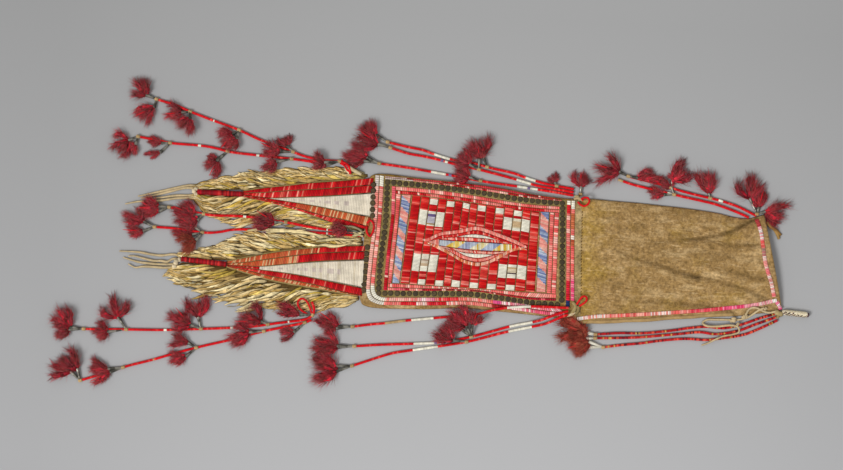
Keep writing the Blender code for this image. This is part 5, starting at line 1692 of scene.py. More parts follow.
quill_border("inner", [
    (INNER_TOP, (mixed_lane(PINK_DYES, 6, 1, 0.2), mixed_lane(ROSE_DYES, 9, 2, 0.05))),
    (INNER_FOOT, (mixed_lane(PINK_DYES, 5, 3, 0.18), mixed_lane(CRIMSON_DYES, 4, 4, 0.06))),
    (INNER_TAB_END[:2], (mixed_lane(SCARLET_DYES, 11, 5, 0.05),)),
    (INNER_TAB_END[2:], (mixed_lane(PINK_DYES, 6, 6, 0.1),)),
    (INNER_MOUTH_END, (mixed_lane(PINK_DYES, 7, 7), mixed_lane(PINK_DYES, 6, 8, 0.16))),
])
quill_border("outer", [
    (OUTER_TAB_END, (
        ends_in(mixed_lane(SALMON_DYES, 6, 9, 0.2), "D8CCC0", 0.08, 0.17, "DCD4C4"),
        ends_in(mixed_lane(PINK_DYES, 7, 10, 0.16), WHITE_QUILL, 0.085, 0.17),
    )),
    (OUTER_FOOT, (
        sections(
            (0.2, ("F49A90", "F4B4A6", "EE7C74")), (0.28, ("F49AA8", "F6D4D0", "EE80A0")),
            (0.42, ("E8484C", "F08078", "D8242C")), (0.61, ("F08478", "EE6A62", "F4A89C")),
            (0.66, ("E8588C", "DC5090")), (1, ("F090A0", "F6C0BC", "EE7A84", "F8E0DC")),
        ),
        sections(
            (0.1, ("EE7068", "F28C80")), (0.18, ("D81C28", "E23A38")),
            (0.235, ("F8DCD2", "F4B4A8")), (0.35, ("D81C28", "E04450", "C8141C")),
            (0.42, ("F6C8BC", "F08478")), (0.6, ("EE7068", "F4A090", "F08478")),
            (0.68, ("98161C", "A82424")), (1, ("F090A0", "E86078", "F6C8C4")),
        ),
    )),
    (OUTER_MOUTH_END[:2], (sections(
        (0.05, (WHITE_QUILL,)), (0.115, ("D81C28", "E8504C")),
        (0.43, ("F08C80", "F4B8A8", "EE6E66")), (0.745, ("EE6E66", "F08478", "E85A58")),
        (0.93, ("E0203A", "D8142A")), (1, (NAVY,)),
    ),)),
    (OUTER_MOUTH_END[2:], (sections(
        (0.08, (WHITE_QUILL,)), (0.13, ("EE7A70",)), (0.275, ("CC6A40", "D87850")),
        (0.345, ("EC6E64", "F08478")), (0.395, ("F6E4D4", "F4C0AC")),
        (0.465, ("A8482A", "B85A38")), (0.79, ("EE6E66", "F4988C", "E85A54")),
        (1.0, ("F04A78", "F27C94")),
    ),)),
    (OUTER_TOP, (
        ends_in(mixed_lane(DARK_DYES, 9, 15, 0.04), "C9A9A4", 0.12),
        ends_in(mixed_lane(BRICK_DYES, 8, 16, 0.12), "D8C4BA", 0.16),
    )),
])

# %% [markdown]
# The long diamond in the middle lies over the lanes of the field, so it stands a little higher.
# From its outline inwards it has a pink edge, a red and a pink part, a white crescent, and across
# its middle a bar of slanting blue and yellow pieces. All of them are lanes whose quills run
# across the diamond, each between two curves.

# %% Lines of the lozenge
LOZENGE = {
    "upper_edge": (
        [
            (-56.5, 8), (-51.5, 9), (-36, 17), (-16.5, 21), (0, 26), (7, 26.4), (16, 24.5),
            (32, 20), (48, 15), (56.5, 11.5), (64.5, 7.5),
        ],
        [
            (-56, 5.6), (-50, 5), (-36, 12.6), (-16.5, 16.3), (0.5, 21.2), (7, 21.7), (16.5, 19.5),
            (32.5, 14.8), (48.5, 9.8), (56.5, 6.8), (63, 5),
        ],
    ),
    "upper_ground": (
        [
            (-48, 7), (-35, 12.8), (-16.5, 16.4), (0.5, 21.2), (7, 21.6), (16.5, 19.4),
            (32.5, 14.8), (52, 8.8),
        ],
        [
            (-48, 6), (-35, 9.8), (-16, 13.2), (-6.5, 16), (4, 17.4), (15, 16.4), (27, 13.2),
            (50, 7.4),
        ],
    ),
    "upper_crescent": (
        [(-16, 13.1), (-6.5, 16), (4, 17.4), (15, 16.4), (27, 13.2)],
        [(-16, 12.9), (-6.5, 13.2), (4.5, 13.2), (15, 13.1), (27, 12.6)],
    ),
    "upper_lane": (
        [(-37, 10), (-16, 12.8), (-6.5, 13.1), (4.5, 13.1), (15, 13), (27, 12.5), (46, 10)],
        [(-37, 8.6), (-15.5, 8.6), (4, 9), (27, 9.1), (46, 9)],
    ),
    "bar": (
        [(-37, 8.5), (-15.5, 8.5), (4, 8.9), (27, 9), (46.5, 9)],
        [(-37, 1.2), (-15, -0.5), (16, -1.2), (46.5, 0.4)],
    ),
    "tab_end": (
        [(-50, 5), (-44, 7.4), (-37.5, 9.6)],
        [(-49, 4.4), (-43, 2.6), (-37.5, 1)],
    ),
    "mouth_end": (
        [(46.8, 9.2), (54, 7.4), (62, 5.6)],
        [(46.8, 1.6), (54, 4), (62, 4.9)],
    ),
    "lower_lane": (
        [(-37, 1), (-15, -0.7), (16, -1.4), (46, 0.2)],
        [(-32, -1), (-16.5, -3.1), (-5.5, -4.5), (7, -4.6), (17.5, -4.5), (26, -4.4), (42, -0.6)],
    ),
    "lower_crescent": (
        [(-16.5, -3.2), (-5.5, -4.7), (7, -4.8), (17.5, -4.7), (26, -4.6)],
        [(-16.5, -3.5), (-5, -8.5), (7.5, -10), (18, -8), (26, -4.9)],
    ),
    "lower_ground": (
        [(-30, -1.2), (-16.5, -3.7), (-5, -8.7), (7.5, -10.2), (18, -8.2), (26, -5.1), (40, -1.2)],
        [(-28, -3), (-16, -8.6), (-8.5, -11.8), (8, -14.3), (20.5, -11.3), (28, -7.2), (38, -2.2)],
    ),
    "lower_edge": (
        [
            (-50, 4.6), (-36, 1.5), (-24, -4.5), (-8.5, -12), (8, -14.5), (20.5, -11.5),
            (33.5, -3.5), (47, 4.6), (55, 6.6), (63, 4.8),
        ],
        [
            (-52, 3.2), (-38, -3), (-23.5, -9), (-8, -16.5), (8, -19.5), (20.5, -16), (34, -8.5),
            (47, -0.2), (56, 2.5), (64, 3),
        ],
    ),
}
print("the lozenge has", len(LOZENGE), "parts")

# %% [markdown]
# Each part has its own few dyes in quick turn. The bar has fields with slanting edges, so its
# rule compares the share along the bar with the share across it.

# %% The lozenge
ON_FIELD = ON_HIDE + QUILL_HEIGHT
LOZENGE_QUILL = 1.7
LOZENGE_HEIGHT = 0.9
# Fields of the bar: the share at which each ends at its upper and at its lower edge, and its dyes.
BAR_FIELDS = [
    (0.23, 0.075, ("B0B6C0", "C2C8CC", "9CA8B8")), (0.385, 0.235, ("DDA92E", "EADCA4", "E4C460")),
    (0.56, 0.41, ("A2A8C0", "B8BECC", "929CB8")), (0.7, 0.565, ("E6D294", "ECE2BC", "DDB040")),
    (0.86, 0.715, ("98A4C0", "B2BCCE", "8896B8")), (1.1, 1.1, ("E6D294", "EEE6C8", "DDB040")),
]


def bar_colour(share, across, quill, tone):
    for upper, lower, codes in BAR_FIELDS:
        if share < upper + (lower - upper) * across:
            return toned(codes[(quill + int(tone * 3)) % len(codes)], tone, 0.08)
    return toned(WHITE_QUILL, tone, 0.05)


def flecked(codes, run=0.5):
    """Quills of a few dyes in quick turn, as along the edges of the lozenge."""

    def colour_at(share, across, quill, tone):
        pick = noise.noise(Vector((quill * run, len(codes), 0))) * 0.8 + tone * 0.5 + 0.25
        return toned(picked(codes, pick), tone * 3 % 1, 0.1)

    return colour_at


LOZENGE_RULES = {
    "upper_edge": flecked(("E8564A", "EE7A6C", "F2A290", "EE8274", "F4C2B0")),
    "upper_ground": flecked(("C00E14", "D82A24", "CA1418", "E8604E", "F0988A")),
    "upper_crescent": flecked((WHITE_QUILL, "F0EAD8")),
    "upper_lane": flecked(("E86E60", "F2A894", "E04438", "F4C4B2")),
    "bar": bar_colour,
    "tab_end": flecked(("EE8A7A", "F0A290", "E8685C")),
    "mouth_end": flecked(("F2C8B8", "D82A24", "F0A896", "EEE0D0")),
    "lower_lane": flecked(("E86E60", "F2A894", "E04438", "F4C4B2")),
    "lower_crescent": flecked((WHITE_QUILL, "F0EAD8")),
    "lower_ground": flecked(("E8604E", "EE8474", "F0988A", "E04438")),
    "lower_edge": flecked(("B8522A", "E08A5A", "F0B49A", "D86A4A", "F2C8B0")),
}
work = Work()
for part, (one, two) in LOZENGE.items():
    shape = {"profile": FINE_PILLOW, "slant": 1.0} if part == "bar" else {"slant": 0.8}
    shape["height"] = LOZENGE_HEIGHT
    one, two, rule = flat_line(one), flat_line(two), LOZENGE_RULES[part]
    quill_lane(work, one, two, LOZENGE_QUILL, rule, ON_FIELD, dice, **shape)
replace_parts(work.finish("lozenge_quills", QUILL, "pink_quill"), "quill_lozenge")
print("the lozenge has", len(work.faces), "faces")

# %% [markdown]
# The sequins are small domed discs of stamped brass with a hole, gone dark brown. Where a thread
# pulls them they overlap a little, so each one is tilted by a degree or two.

# %% A sequin
SEQUIN = 6.5
SEQUIN_SIDES = 16
SEQUIN_TILT = 0.05
BRASS_SPOT = 1.6
# Shares of a sequin's radius and its heights, from the hole up over the dome to the edge.
SEQUIN_PROFILE = ((0.1, 0.3), (0.3, 0.36), (0.7, 0.35), (0.93, 0.27), (1, 0.1), (0.98, 0))
BRASS = dyed_material("tarnished_stamped_brass", 0.6, (
    (BRASS_SPOT, 3, (0.35, 0.7), (0.6, 1.5)),
), metallic=0.3)


def add_sequin(work, spot, dice):
    """A domed disc with a hole, tilted a little."""
    tilt = Vector((*(dice.uniform(-SEQUIN_TILT, SEQUIN_TILT) for _ in "xy"), 1)).normalized()
    size = SEQUIN / 2 * dice.uniform(0.95, 1.03)
    # The top of the dome gets a lighter dye, a painted highlight; each disc's tone differs at
    # random.
    dye = linear("34280F", dice.uniform(0.6, 1.6))
    light = linear("43351A", dice.uniform(0.7, 1.5))
    rings = []
    for share, high in SEQUIN_PROFILE:
        ring = []
        for i in range(SEQUIN_SIDES):
            angle = math.tau * i / SEQUIN_SIDES
            out = Vector((math.cos(angle), math.sin(angle), 0)) * size * share
            out.z = high - out.dot(tilt) / tilt.z
            ring.append(spot + out)
        rings.append(ring)
    work.loft(rings, [light, light, dye, dye, dye])


disc = Work()
add_sequin(disc, Vector((0, 0, 0)), random.Random(1))
print("a sequin has", len(disc.faces), "faces")

# %% [markdown]
# Round the panel runs a strip of hide with sequins, and a second row stands where the tabs are
# sewn on. The sequins were sewn on closer along the sides than along the top and the foot.

# %% Rows of sequins
SEQUIN_PITCH = {"top": 7.1, "side": 6.3, "foot": 7.2, "tab": 7.1}
STRIP_HEIGHT = 0.4
STRIP_SECTION = (
    (-1, -0.1), (-1, STRIP_HEIGHT * 0.8), (0, STRIP_HEIGHT), (1, STRIP_HEIGHT * 0.8), (1, -0.1),
)
FRAME_TOP = [(-101, 69.6), (-68, 69.4), (-28, 67.7), (8.5, 65), (46, 61.5), (76.5, 59.9), (101, 60)]
FRAME_TAB_END = [
    (-101, 63.4), (-100, 31), (-101.2, 5.5), (-102.2, -13), (-102.8, -31.5), (-102.8, -52),
]
FRAME_FOOT = [
    (-102.5, -57.8), (-66.5, -55.9), (-26.5, -53.2), (3, -51.8), (18.5, -52.4), (43.5, -54.2),
    (70.5, -56.4), (103, -56.6),
]
FRAME_MOUTH_END = [(101.2, 54), (104, 17.5), (106.2, -22), (107.6, -51)]
UPPER_TAB_ROW = [(-117, 66), (-116.2, 51.5), (-116.2, 37), (-115.8, 30)]
LOWER_TAB_ROW = [(-119.2, -6.5), (-119.4, -28), (-119.6, -56)]


def sequin_strip(sequins, strip, line, pitch, width=7.4, lift=0.0, code="8A7A4A"):
    """A row of sequins on its strip of hide."""
    path = flat_line(line)
    for spot in evenly(path, pitch):
        nudge = Vector((dice.uniform(-0.3, 0.3), dice.uniform(-0.3, 0.3), 0))
        nudge.z = ON_HIDE + STRIP_HEIGHT + lift
        add_sequin(sequins, spot + nudge, dice)
    steps = evenly(path, 4.0)
    rings, dyes = [], []
    for i, spot in enumerate(steps):
        way = heading_at(steps, i)
        side = to_side(way) * (width / 2 + dice.uniform(-0.2, 0.2))
        spot = spot + way * (-width / 2 if i == 0 else width / 2 if i == len(steps) - 1 else 0)
        rings.append([
            spot + side * out + Vector((0, 0, ON_HIDE + high)) for out, high in STRIP_SECTION
        ])
        if i:
            dyes.append(varied(code, dice, 0.15))
    strip.loft(rings, dyes)


dice = random.Random(53)
sequins, strip = Work(), Work()
for line, side in (
    (FRAME_TOP, "top"), (FRAME_TAB_END, "side"), (FRAME_FOOT, "foot"), (FRAME_MOUTH_END, "side"),
):
    sequin_strip(sequins, strip, line, SEQUIN_PITCH[side])
print("the frame has", len(sequins.points) // (SEQUIN_SIDES * len(SEQUIN_PROFILE)), "sequins")
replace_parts(sequins.finish("frame_sequins", BRASS, "dark_brass"), "sequin_border")
strip.finish("frame_sequin_strip", CUT_HIDE, "fringe_hide", smooth=False)
sequins, strip = Work(), Work()
sequin_strip(sequins, strip, UPPER_TAB_ROW, SEQUIN_PITCH["tab"], 3.4, 0.75, "C2B49C")
sequin_strip(sequins, strip, LOWER_TAB_ROW, SEQUIN_PITCH["tab"], 4.4, 0.1, "8A7448")
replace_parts(sequins.finish("tab_sequins", BRASS, "dark_brass"), "tab_sequin_row")
strip.finish("tab_sequin_strip", CUT_HIDE, "fringe_hide", smooth=False)

# %% [markdown]
# Each tab is a stiff triangle of hide covered with lanes that narrow towards its tip. Two lanes
# run along its upper side, a long white wedge fills the middle, and two more lanes run below,
# all red with lengths of orange or pink. The lines between the lanes are curves, as the maker's
# were.

# %% Lines of the tabs
UPPER_TAB_LINES = [
    [(-117.6, 73.8), (-157, 67.5), (-189, 63), (-212.5, 58.5), (-244.5, 53), (-266, 48)],
    [(-117.6, 65.7), (-152, 60.5), (-180, 56.5), (-212.5, 52.5), (-244.5, 48), (-266, 46)],
    [(-117.6, 56.7), (-139.5, 53.5), (-171.5, 49), (-212, 44.6), (-236, 42.3), (-266, 44)],
    [(-117.6, 28.5), (-146, 32), (-179, 36.5), (-211.5, 39.6), (-236, 41.7), (-266, 43.6)],
    [
        (-118.6, 17), (-145.5, 23), (-171.5, 26.5), (-190.5, 30.5), (-211, 34.6), (-243.5, 40),
        (-266, 42),
    ],
    [
        (-120, 14), (-137, 16), (-150, 17.4), (-165.5, 20), (-176.5, 23.4), (-199.5, 29.6),
        (-217, 33.4), (-243.5, 38.4), (-266, 41.2),
    ],
]
LOWER_TAB_LINES = [
    [(-121.6, -4.6), (-161.5, -8.4), (-183.5, -11.6), (-227, -20), (-259.5, -28.5), (-279, -33.8)],
    [(-121.6, -11.3), (-172, -16.6), (-198.5, -21), (-237.5, -29), (-260, -33.6), (-279, -36)],
    [(-121.6, -20.5), (-171.5, -26), (-204, -31), (-241, -36.8), (-262, -37.4), (-279, -37.6)],
    [
        (-121.2, -53.5), (-159, -48.5), (-198, -43.5), (-225.5, -41.4), (-241, -40.6),
        (-262, -39.2), (-279, -38.2),
    ],
    [
        (-121.2, -62.4), (-147, -58.8), (-175, -53.6), (-203, -50), (-230.5, -46.6),
        (-247.5, -43.6), (-279, -38.8),
    ],
    [
        (-121.2, -63.4), (-143.5, -61), (-175, -57.2), (-193.5, -55.4), (-211, -53.6),
        (-227, -51.4), (-250.5, -46.4), (-279, -39.6),
    ],
]
print(len(UPPER_TAB_LINES) - 1, "lanes on each tab")

# %% [markdown]
# A pale quill shows between the others here and there, most often in the orange lanes, and a
# lane's colour changes raggedly. The wedge has a faint grey middle.

# %% Dyes of the tabs
CRIMSON = ("BA0610", "C80E16", "AA060E", "CC1C1C")
GREY_ALONG, GREY_ACROSS = (0.16, 0.86), (0.36, 0.6)  # where the wedge is faintly grey
ORANGES = ("C0552A", "B84A26", "C8663A", "C25030")


def streaked(codes, light, often):
    """Fine quills of one dye, with a pale one showing between them here and there."""

    def colour_at(share, across, quill, tone):
        if tone * 13 % 1 < often:
            return toned(light, tone, 0.1)
        pick = noise.noise(Vector((quill * 0.45, often * 90, 2))) + 0.5
        return toned(picked(codes, pick), tone * 3 % 1, 0.2)

    return colour_at


def changing(first, second, place):
    """One rule up to a share of the lane, and another beyond it."""

    def colour_at(share, across, quill, tone):
        wander = 0.07 * noise.noise(Vector((quill * 0.6, place * 9, 1)))
        return (first if share + wander < place else second)(share, across, quill, tone)

    return colour_at


def wedge(tip_share, ground):
    """The white wedge with its faint grey middle, and red beyond its tip."""

    def colour_at(share, across, quill, tone):
        if share > tip_share:
            return ground(share, across, quill, tone)
        grey = GREY_ALONG[0] < share < GREY_ALONG[1] and GREY_ACROSS[0] < across < GREY_ACROSS[1]
        if grey and tone > 0.45:
            return toned("CABAAE", tone * 3 % 1, 0.08)
        return toned("E2D6C0" if tone < 0.8 else "D4C6AC", tone * 7 % 1, 0.05)

    return colour_at


RED_LANE = streaked(CRIMSON, "DE6A58", 0.07)
PINK_LANE = streaked(("CE2020", "DA3C34", "C20E18", "E4604E"), "EE9480", 0.12)
ORANGE_LANE = streaked(ORANGES, "DDA878", 0.24)
TAB_RULES = {
    "upper": (
        RED_LANE, changing(RED_LANE, PINK_LANE, 0.55), wedge(0.79, RED_LANE),
        changing(ORANGE_LANE, RED_LANE, 0.57), changing(RED_LANE, PINK_LANE, 0.2),
    ),
    "lower": (
        changing(RED_LANE, ORANGE_LANE, 0.34), changing(RED_LANE, ORANGE_LANE, 0.5),
        wedge(0.76, RED_LANE), changing(RED_LANE, PINK_LANE, 0.7), ORANGE_LANE,
    ),
}


print("the tabs have", sum(len(rules) for rules in TAB_RULES.values()), "lanes")

# %% [markdown]
# The tabs lie lower than the panel, and their lanes climb on to its edge. Their quills slant in
# the lanes, and lie straight in the wedge, where the painted light and shade between them is
# weaker.

# %% The tabs
ON_TAB = 2.5
TAB_SKIN = 2.2
TAB_START = -123.5  # where the panel's hide begins
TAB_CLIMB = 4.0  # the length over which a lane climbs on to the panel
QUILL_ON_TABS = 1.9
TAB_SLANT = 1.5
TAB_EDGE = 0.9  # how far the hide shows beyond its quills
TAB_CURVE = 0.5  # how far its cut edge bulges
WEDGE_LANE = 2
# how strongly the painted light and shade between the wedge's quills show
WEDGE_PAINTED_RELIEF = 0.45


def tab_ground(x):
    """The height under the quills: the tab's skin, then up on to the edge of the panel."""
    climb = clamp((x - TAB_START + TAB_CLIMB) / TAB_CLIMB)
    return ON_TAB + (ON_HIDE - ON_TAB) * climb * climb * (3 - 2 * climb)


def add_tab(name, lines):
    """The tab's hide, a little wider than its quills, and the lanes on it."""
    skin = Work()
    top, foot = evenly(flat_line(lines[0]), 5.0), flat_line(lines[-1])
    shares = [i / (len(top) - 1) for i in range(len(top))]
    rings = []
    for a, b in zip(points_at(top, shares), points_at(foot, shares)):
        if a.x > TAB_START - GAP:
            continue
        a, b = a + Vector((0, TAB_EDGE, 0)), b - Vector((0, TAB_EDGE, 0))
        rings.append([
            (a.x, a.y, GAP), (a.x, a.y + TAB_CURVE, TAB_SKIN / 2), (a.x, a.y, TAB_SKIN),
            (b.x, b.y, TAB_SKIN), (b.x, b.y - TAB_CURVE, TAB_SKIN / 2), (b.x, b.y, GAP),
        ])
    skin.loft(rings, [linear("9C8654")] * (len(rings) - 1))
    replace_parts(skin.finish(name + "_tab_skin", CUT_HIDE, "fringe_hide"), name + "_tab_hide")
    work = Work()
    for lane, (one, two, rule) in enumerate(zip(lines, lines[1:], TAB_RULES[name])):
        one, two = flat_line(one), flat_line(two)
        shape = {"relief": WEDGE_PAINTED_RELIEF} if lane == WEDGE_LANE else {"slant": TAB_SLANT}
        quill_lane(work, one, two, QUILL_ON_TABS, rule, tab_ground, dice, **shape)
    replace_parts(work.finish(name + "_tab_quills", QUILL, "red_quill"), name + "_tab_quillwork")
    print("the", name, "tab has", len(work.faces), "faces of quills")


add_tab("upper", UPPER_TAB_LINES)
add_tab("lower", LOWER_TAB_LINES)

# %% [markdown]
# Each tab ends in a roll, wrapped with dark red quills like the pendants but thicker. A knot of
# thong ties a bundle of loose thongs to its tip.

# %% Wrapped tips
ROLL = 6.6  # diameter
ROLL_TURN = 1.5
ROLL_DYES = ("8E0F1A", "A8141C", "7A1418", "C8302C")  # the more frequent ones first
TIPS = {
    "upper": ((-266.3, 44.6), (-318, 43.6)),
    "lower": ((-279.3, -37), (-331, -34.5)),
}


def tip_dye(distance, dice):
    """The dye of a turn, which doesn't depend on where it lies."""
    return varied(ROLL_DYES[int(dice.random() ** 1.6 * len(ROLL_DYES))], dice, 0.25)


for name, ends in TIPS.items():
    work = Work()
    path = [Vector((*end, ROLL / 2 + UNDERSIDE)) for end in ends]
    wrap(work, path, ROLL, tip_dye, dice, turn=ROLL_TURN)
    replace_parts(work.finish(name + "_tip_roll", QUILL, "red_quill"), name + "_tab_tip_wrap")
    print("the", name, "tip is", round((path[1] - path[0]).length), "mm long")

# %% [markdown]
# A narrow edging of quills in bright pinks closes the mouth, turns round its lower corner, and
# runs back along the lower side of the pouch. The hide there isn't flat, so each point of a quill
# looks up the height of the pouch under it.

# %% The edgings
EDGING = 4.4
EDGE_QUILL = 1.8
EDGE_STATIONS = 3  # points for each quill along the edging
EDGE_LIFT = 0.3
# Painted shade in the valley between two quills, and painted light on each quill's top.
EDGE_PAINTED_LIGHT = (0.5, 1.1, 0.98)
MOUTH_EDGE = [
    (324.5, 57), (330, 43), (333, 29), (337, 9), (341.5, -4), (345.5, -14), (350.4, -30.4),
]
SLANTING_EDGE = [(353.8, -35.9), (357.3, -40.1), (359.6, -44.7)]
SIDE_EDGE = [
    (127, -71.6), (146, -67.6), (174, -64.4), (222, -58.5), (268, -52), (302, -46.4), (330, -41),
    (353.6, -34.2),
]


def hide_height(x, y):
    """Height of the pouch under a place, found on the same curves as the envelope."""
    for upper, lower, ahead in zip(upper_edge, lower_edge, upper_edge[1:]):
        share = (y - lower.y) / (upper.y - lower.y)
        here = lower.x + (upper.x - lower.x) * share
        if here >= x - HIDE_STEP / 2:
            return hide_top(x, y, share, (upper - lower).length)[0]
    return HEM_HEIGHT


def add_edging(name, lanes):
    """Lanes of quills that lie on the curved hide."""
    work = Work()
    for line, rule in lanes:
        path = evenly(flat_line(line), EDGE_QUILL / EDGE_STATIONS)
        rings, dyes = [], []
        for i, spot in enumerate(path):
            side = to_side(heading_at(path, i)) * EDGING / 2
            station = i % EDGE_STATIONS
            full = QUILL_HEIGHT * (1.0 if station else VALLEY_HEIGHT)
            ring = []
            for share, part in PILLOW:
                point = spot + side * (1 - 2 * share)
                point.z = hide_height(point.x, point.y) + EDGE_LIFT + full * part
                ring.append(point)
            rings.append(ring)
            if i:
                quill = (i - 1) // EDGE_STATIONS
                tone = (noise.noise(Vector((quill * 3.7, 9, 2))) + 0.5) % 1
                dye = rule(quill * EDGE_STATIONS / len(path), 0.5, quill, tone)
                dyes.append(with_painted_light(dye, EDGE_PAINTED_LIGHT[station]))
        work.loft(rings, dyes)
    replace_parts(work.finish(name.replace("edge", "edging"), QUILL, "pink_quill"), name)
    print(name, "has", len(work.faces), "faces")


PALE_PINKS = ("F6C8BC", "F2A79C", "F8DCD2", "F4B8A4", "F0948C")
add_edging("mouth_quill_edge", [
    (MOUTH_EDGE, sections(
        (0.08, ("C84A48", "B43A3C")), (0.27, ("F4B0B0", "F8D0CC", "EE9A9A", "F6E4DE")),
        (0.36, ("E85A54", "F07C70")), (0.47, ("C28C80", "CE7C76", "B88A7C")), (0.62, PALE_PINKS),
        (0.7, ("EE8080", "EA7474")), (0.93, PALE_PINKS), (1, ("E86A6C", "F08A88")),
    )),
    (SLANTING_EDGE, sections(
        (0.45, ("F8B0C0", "F6E8E4", "F0809C")), (1, ("E83868", "F05A88", "F8A8B8")),
    )),
])
add_edging("side_quill_edge", [
    (SIDE_EDGE, sections(
        (0.025, ("F6ECE2",)), (0.15, ("F6D6CA", "F4B09E", "F8E2D6", "F09A88")),
        (0.36, ("F07466", "F49284", "EC5E58", "F6AA98")),
        (0.47, ("F8CEC0", "F4A090", "F8E0D6", "F08878")), (0.56, ("F07C70", "EE685E", "F49E90")),
        (0.72, ("E84A58", "EE6466", "E43C50", "F07878")),
        (0.83, ("F05A80", "E83E6A", "F88CA4", "EE5A80")),
        (0.97, ("F8A8B0", "F4C0B4", "F8D8D0", "F09098")), (1, ("F6ECE2",)),
    )),
])

# %% [markdown]
# Each long side of a tab carries a fringe. It lies between the side itself and the line that the
# tips of its strips reach.

# %% Lines of the fringes
FRINGES = {
    "upper_outer_fringe": (
        [
            (-124.5, 74), (-157, 68.6), (-189, 64.2), (-212, 59.6), (-244, 54.2), (-270, 49.6),
            (-318, 47.4),
        ],
        [(-124.5, 79), (-152, 82.5), (-203, 78), (-261, 71), (-292, 62), (-322, 50)],
    ),
    "upper_inner_fringe": (
        [
            (-124.5, 14), (-150, 17.2), (-176, 22.4), (-199, 30), (-217, 36.2), (-241, 40),
            (-257, 42.6), (-276, 42), (-318, 40),
        ],
        [(-124.5, 10.7), (-165, 12.6), (-218, 10.9), (-275, 6), (-303, 15), (-322, 36)],
    ),
    "lower_inner_fringe": (
        [
            (-124.5, -4), (-161, -7.2), (-184, -10.4), (-227, -18.8), (-259, -27.2), (-283, -32.6),
            (-331, -30.6),
        ],
        [(-124.5, 4), (-180, 4.6), (-236, 3.6), (-266, 0.8), (-300, -17), (-332, -29)],
    ),
    "lower_outer_fringe": (
        [
            (-124.5, -64.2), (-145, -62.2), (-175, -58.4), (-211, -54), (-227, -51.8),
            (-250, -45.2), (-283, -38.6), (-331, -38.6),
        ],
        [(-124.5, -70), (-188, -86), (-239, -88), (-284, -83), (-322, -72), (-347, -55)],
    ),
}
print(len(FRINGES), "fringes")

# %% [markdown]
# The fringe is soft hide cut into narrow leaves that have twisted as they dried, like ears of
# wheat. A flat plate with cuts would look like paper. Each strip is therefore its own creased,
# twisted and curled leaf.

# %% Leaves of the fringe
LEAF_SECTION = ((-0.5, -0.15), (-0.3, 0.3), (0, 0.42), (0.3, 0.26), (0.5, -0.2), (0, -0.3))
# Painted light on a leaf's upper faces, and painted shade on its far edge and beneath it.
LEAF_PAINTED_LIGHT = (0.5, 1.18, 1.0, 0.42, 0.28, 0.28)


def add_leaf(work, spots, wide, code, dice):
    """A narrow strip of hide along its middle line, creased, twisted and blunt at the end."""
    twist, start = dice.gauss(0, 0.9), dice.uniform(0, 3)
    dye = linear(code, dice.uniform(0.78, 1.16))
    rings, dyes = [], []
    count = len(spots) - 1
    for joint, spot in enumerate(spots):
        t = joint / count
        way = heading_at(spots, joint)
        width = wide * min(1.0, 0.45 + 2 * t) * (1 if t < 0.5 else max(0.06, (1 - t) / 0.5) ** 0.75)
        roll = twist * math.sin(3.2 * t + start)
        across = to_side(way) * math.cos(roll) + Vector((0, 0, 0.7 * math.sin(roll)))
        ring = []
        for reach, high in LEAF_SECTION:
            point = spot + across * width * reach + Vector((0, 0, high))
            ring.append((point.x, point.y, max(0.1, point.z)))
        rings.append(ring)
        if joint:
            # Each joint's tone differs at random, and painted shade darkens the leaf towards its
            # root, where the next leaf covers it.
            light = dice.uniform(0.84, 1.26) * (0.55 + 0.6 * min(1.0, 1.6 * t))
            dyes.append([with_painted_light(dye, shade * light) for shade in LEAF_PAINTED_LIGHT])
    work.loft(rings, dyes)


print("a leaf has", len(LEAF_SECTION), "points round")

# %% [markdown]
# The leaves start at depths thrown at random, and are laid from the outermost inwards, so that
# each covers the root of the one before. A dark sheet beneath them, a painted shade, fills the
# gaps.

# %% Fringes
STRAWS = ("D2B57C", "C6A86C", "BC9C60", "DCC592", "E4D2A2", "AE8E50", "CDB686")
YELLOWS = ("C4A44A", "CDB262", "B89C48")
LEAF_WIDE = 5.6
LEAF_LONG = (16.0, 29.0)
LEAF_JOINTS = 9
LEAVES = 175  # on each fringe
LEAF_KINK = 1.8  # how far a leaf wanders from its line
LEAF_REACH = (0.2, 0.46)  # how far a leaf runs outwards, as a share of the fringe's depth
LEAF_TOP = 3.3  # the middle of the highest leaf, under the pendants that cross the fringe
LEAF_RISE = 1.3  # how much deeper the root lies than the point, which so covers its neighbour
LEAF_LOWEST = 0.75
RAGGED = 0.66  # how far out the dark sheet of painted shade beneath the leaves reaches, as a share of the fringe's depth
YELLOW_DEPTH, YELLOW_OFTEN = 0.26, 0.3  # where leaves may be yellow, and how many are
GOLDEN_SHARE = 0.618034  # spreads the leaves' starts evenly in any number
MAP_STEPS = 120


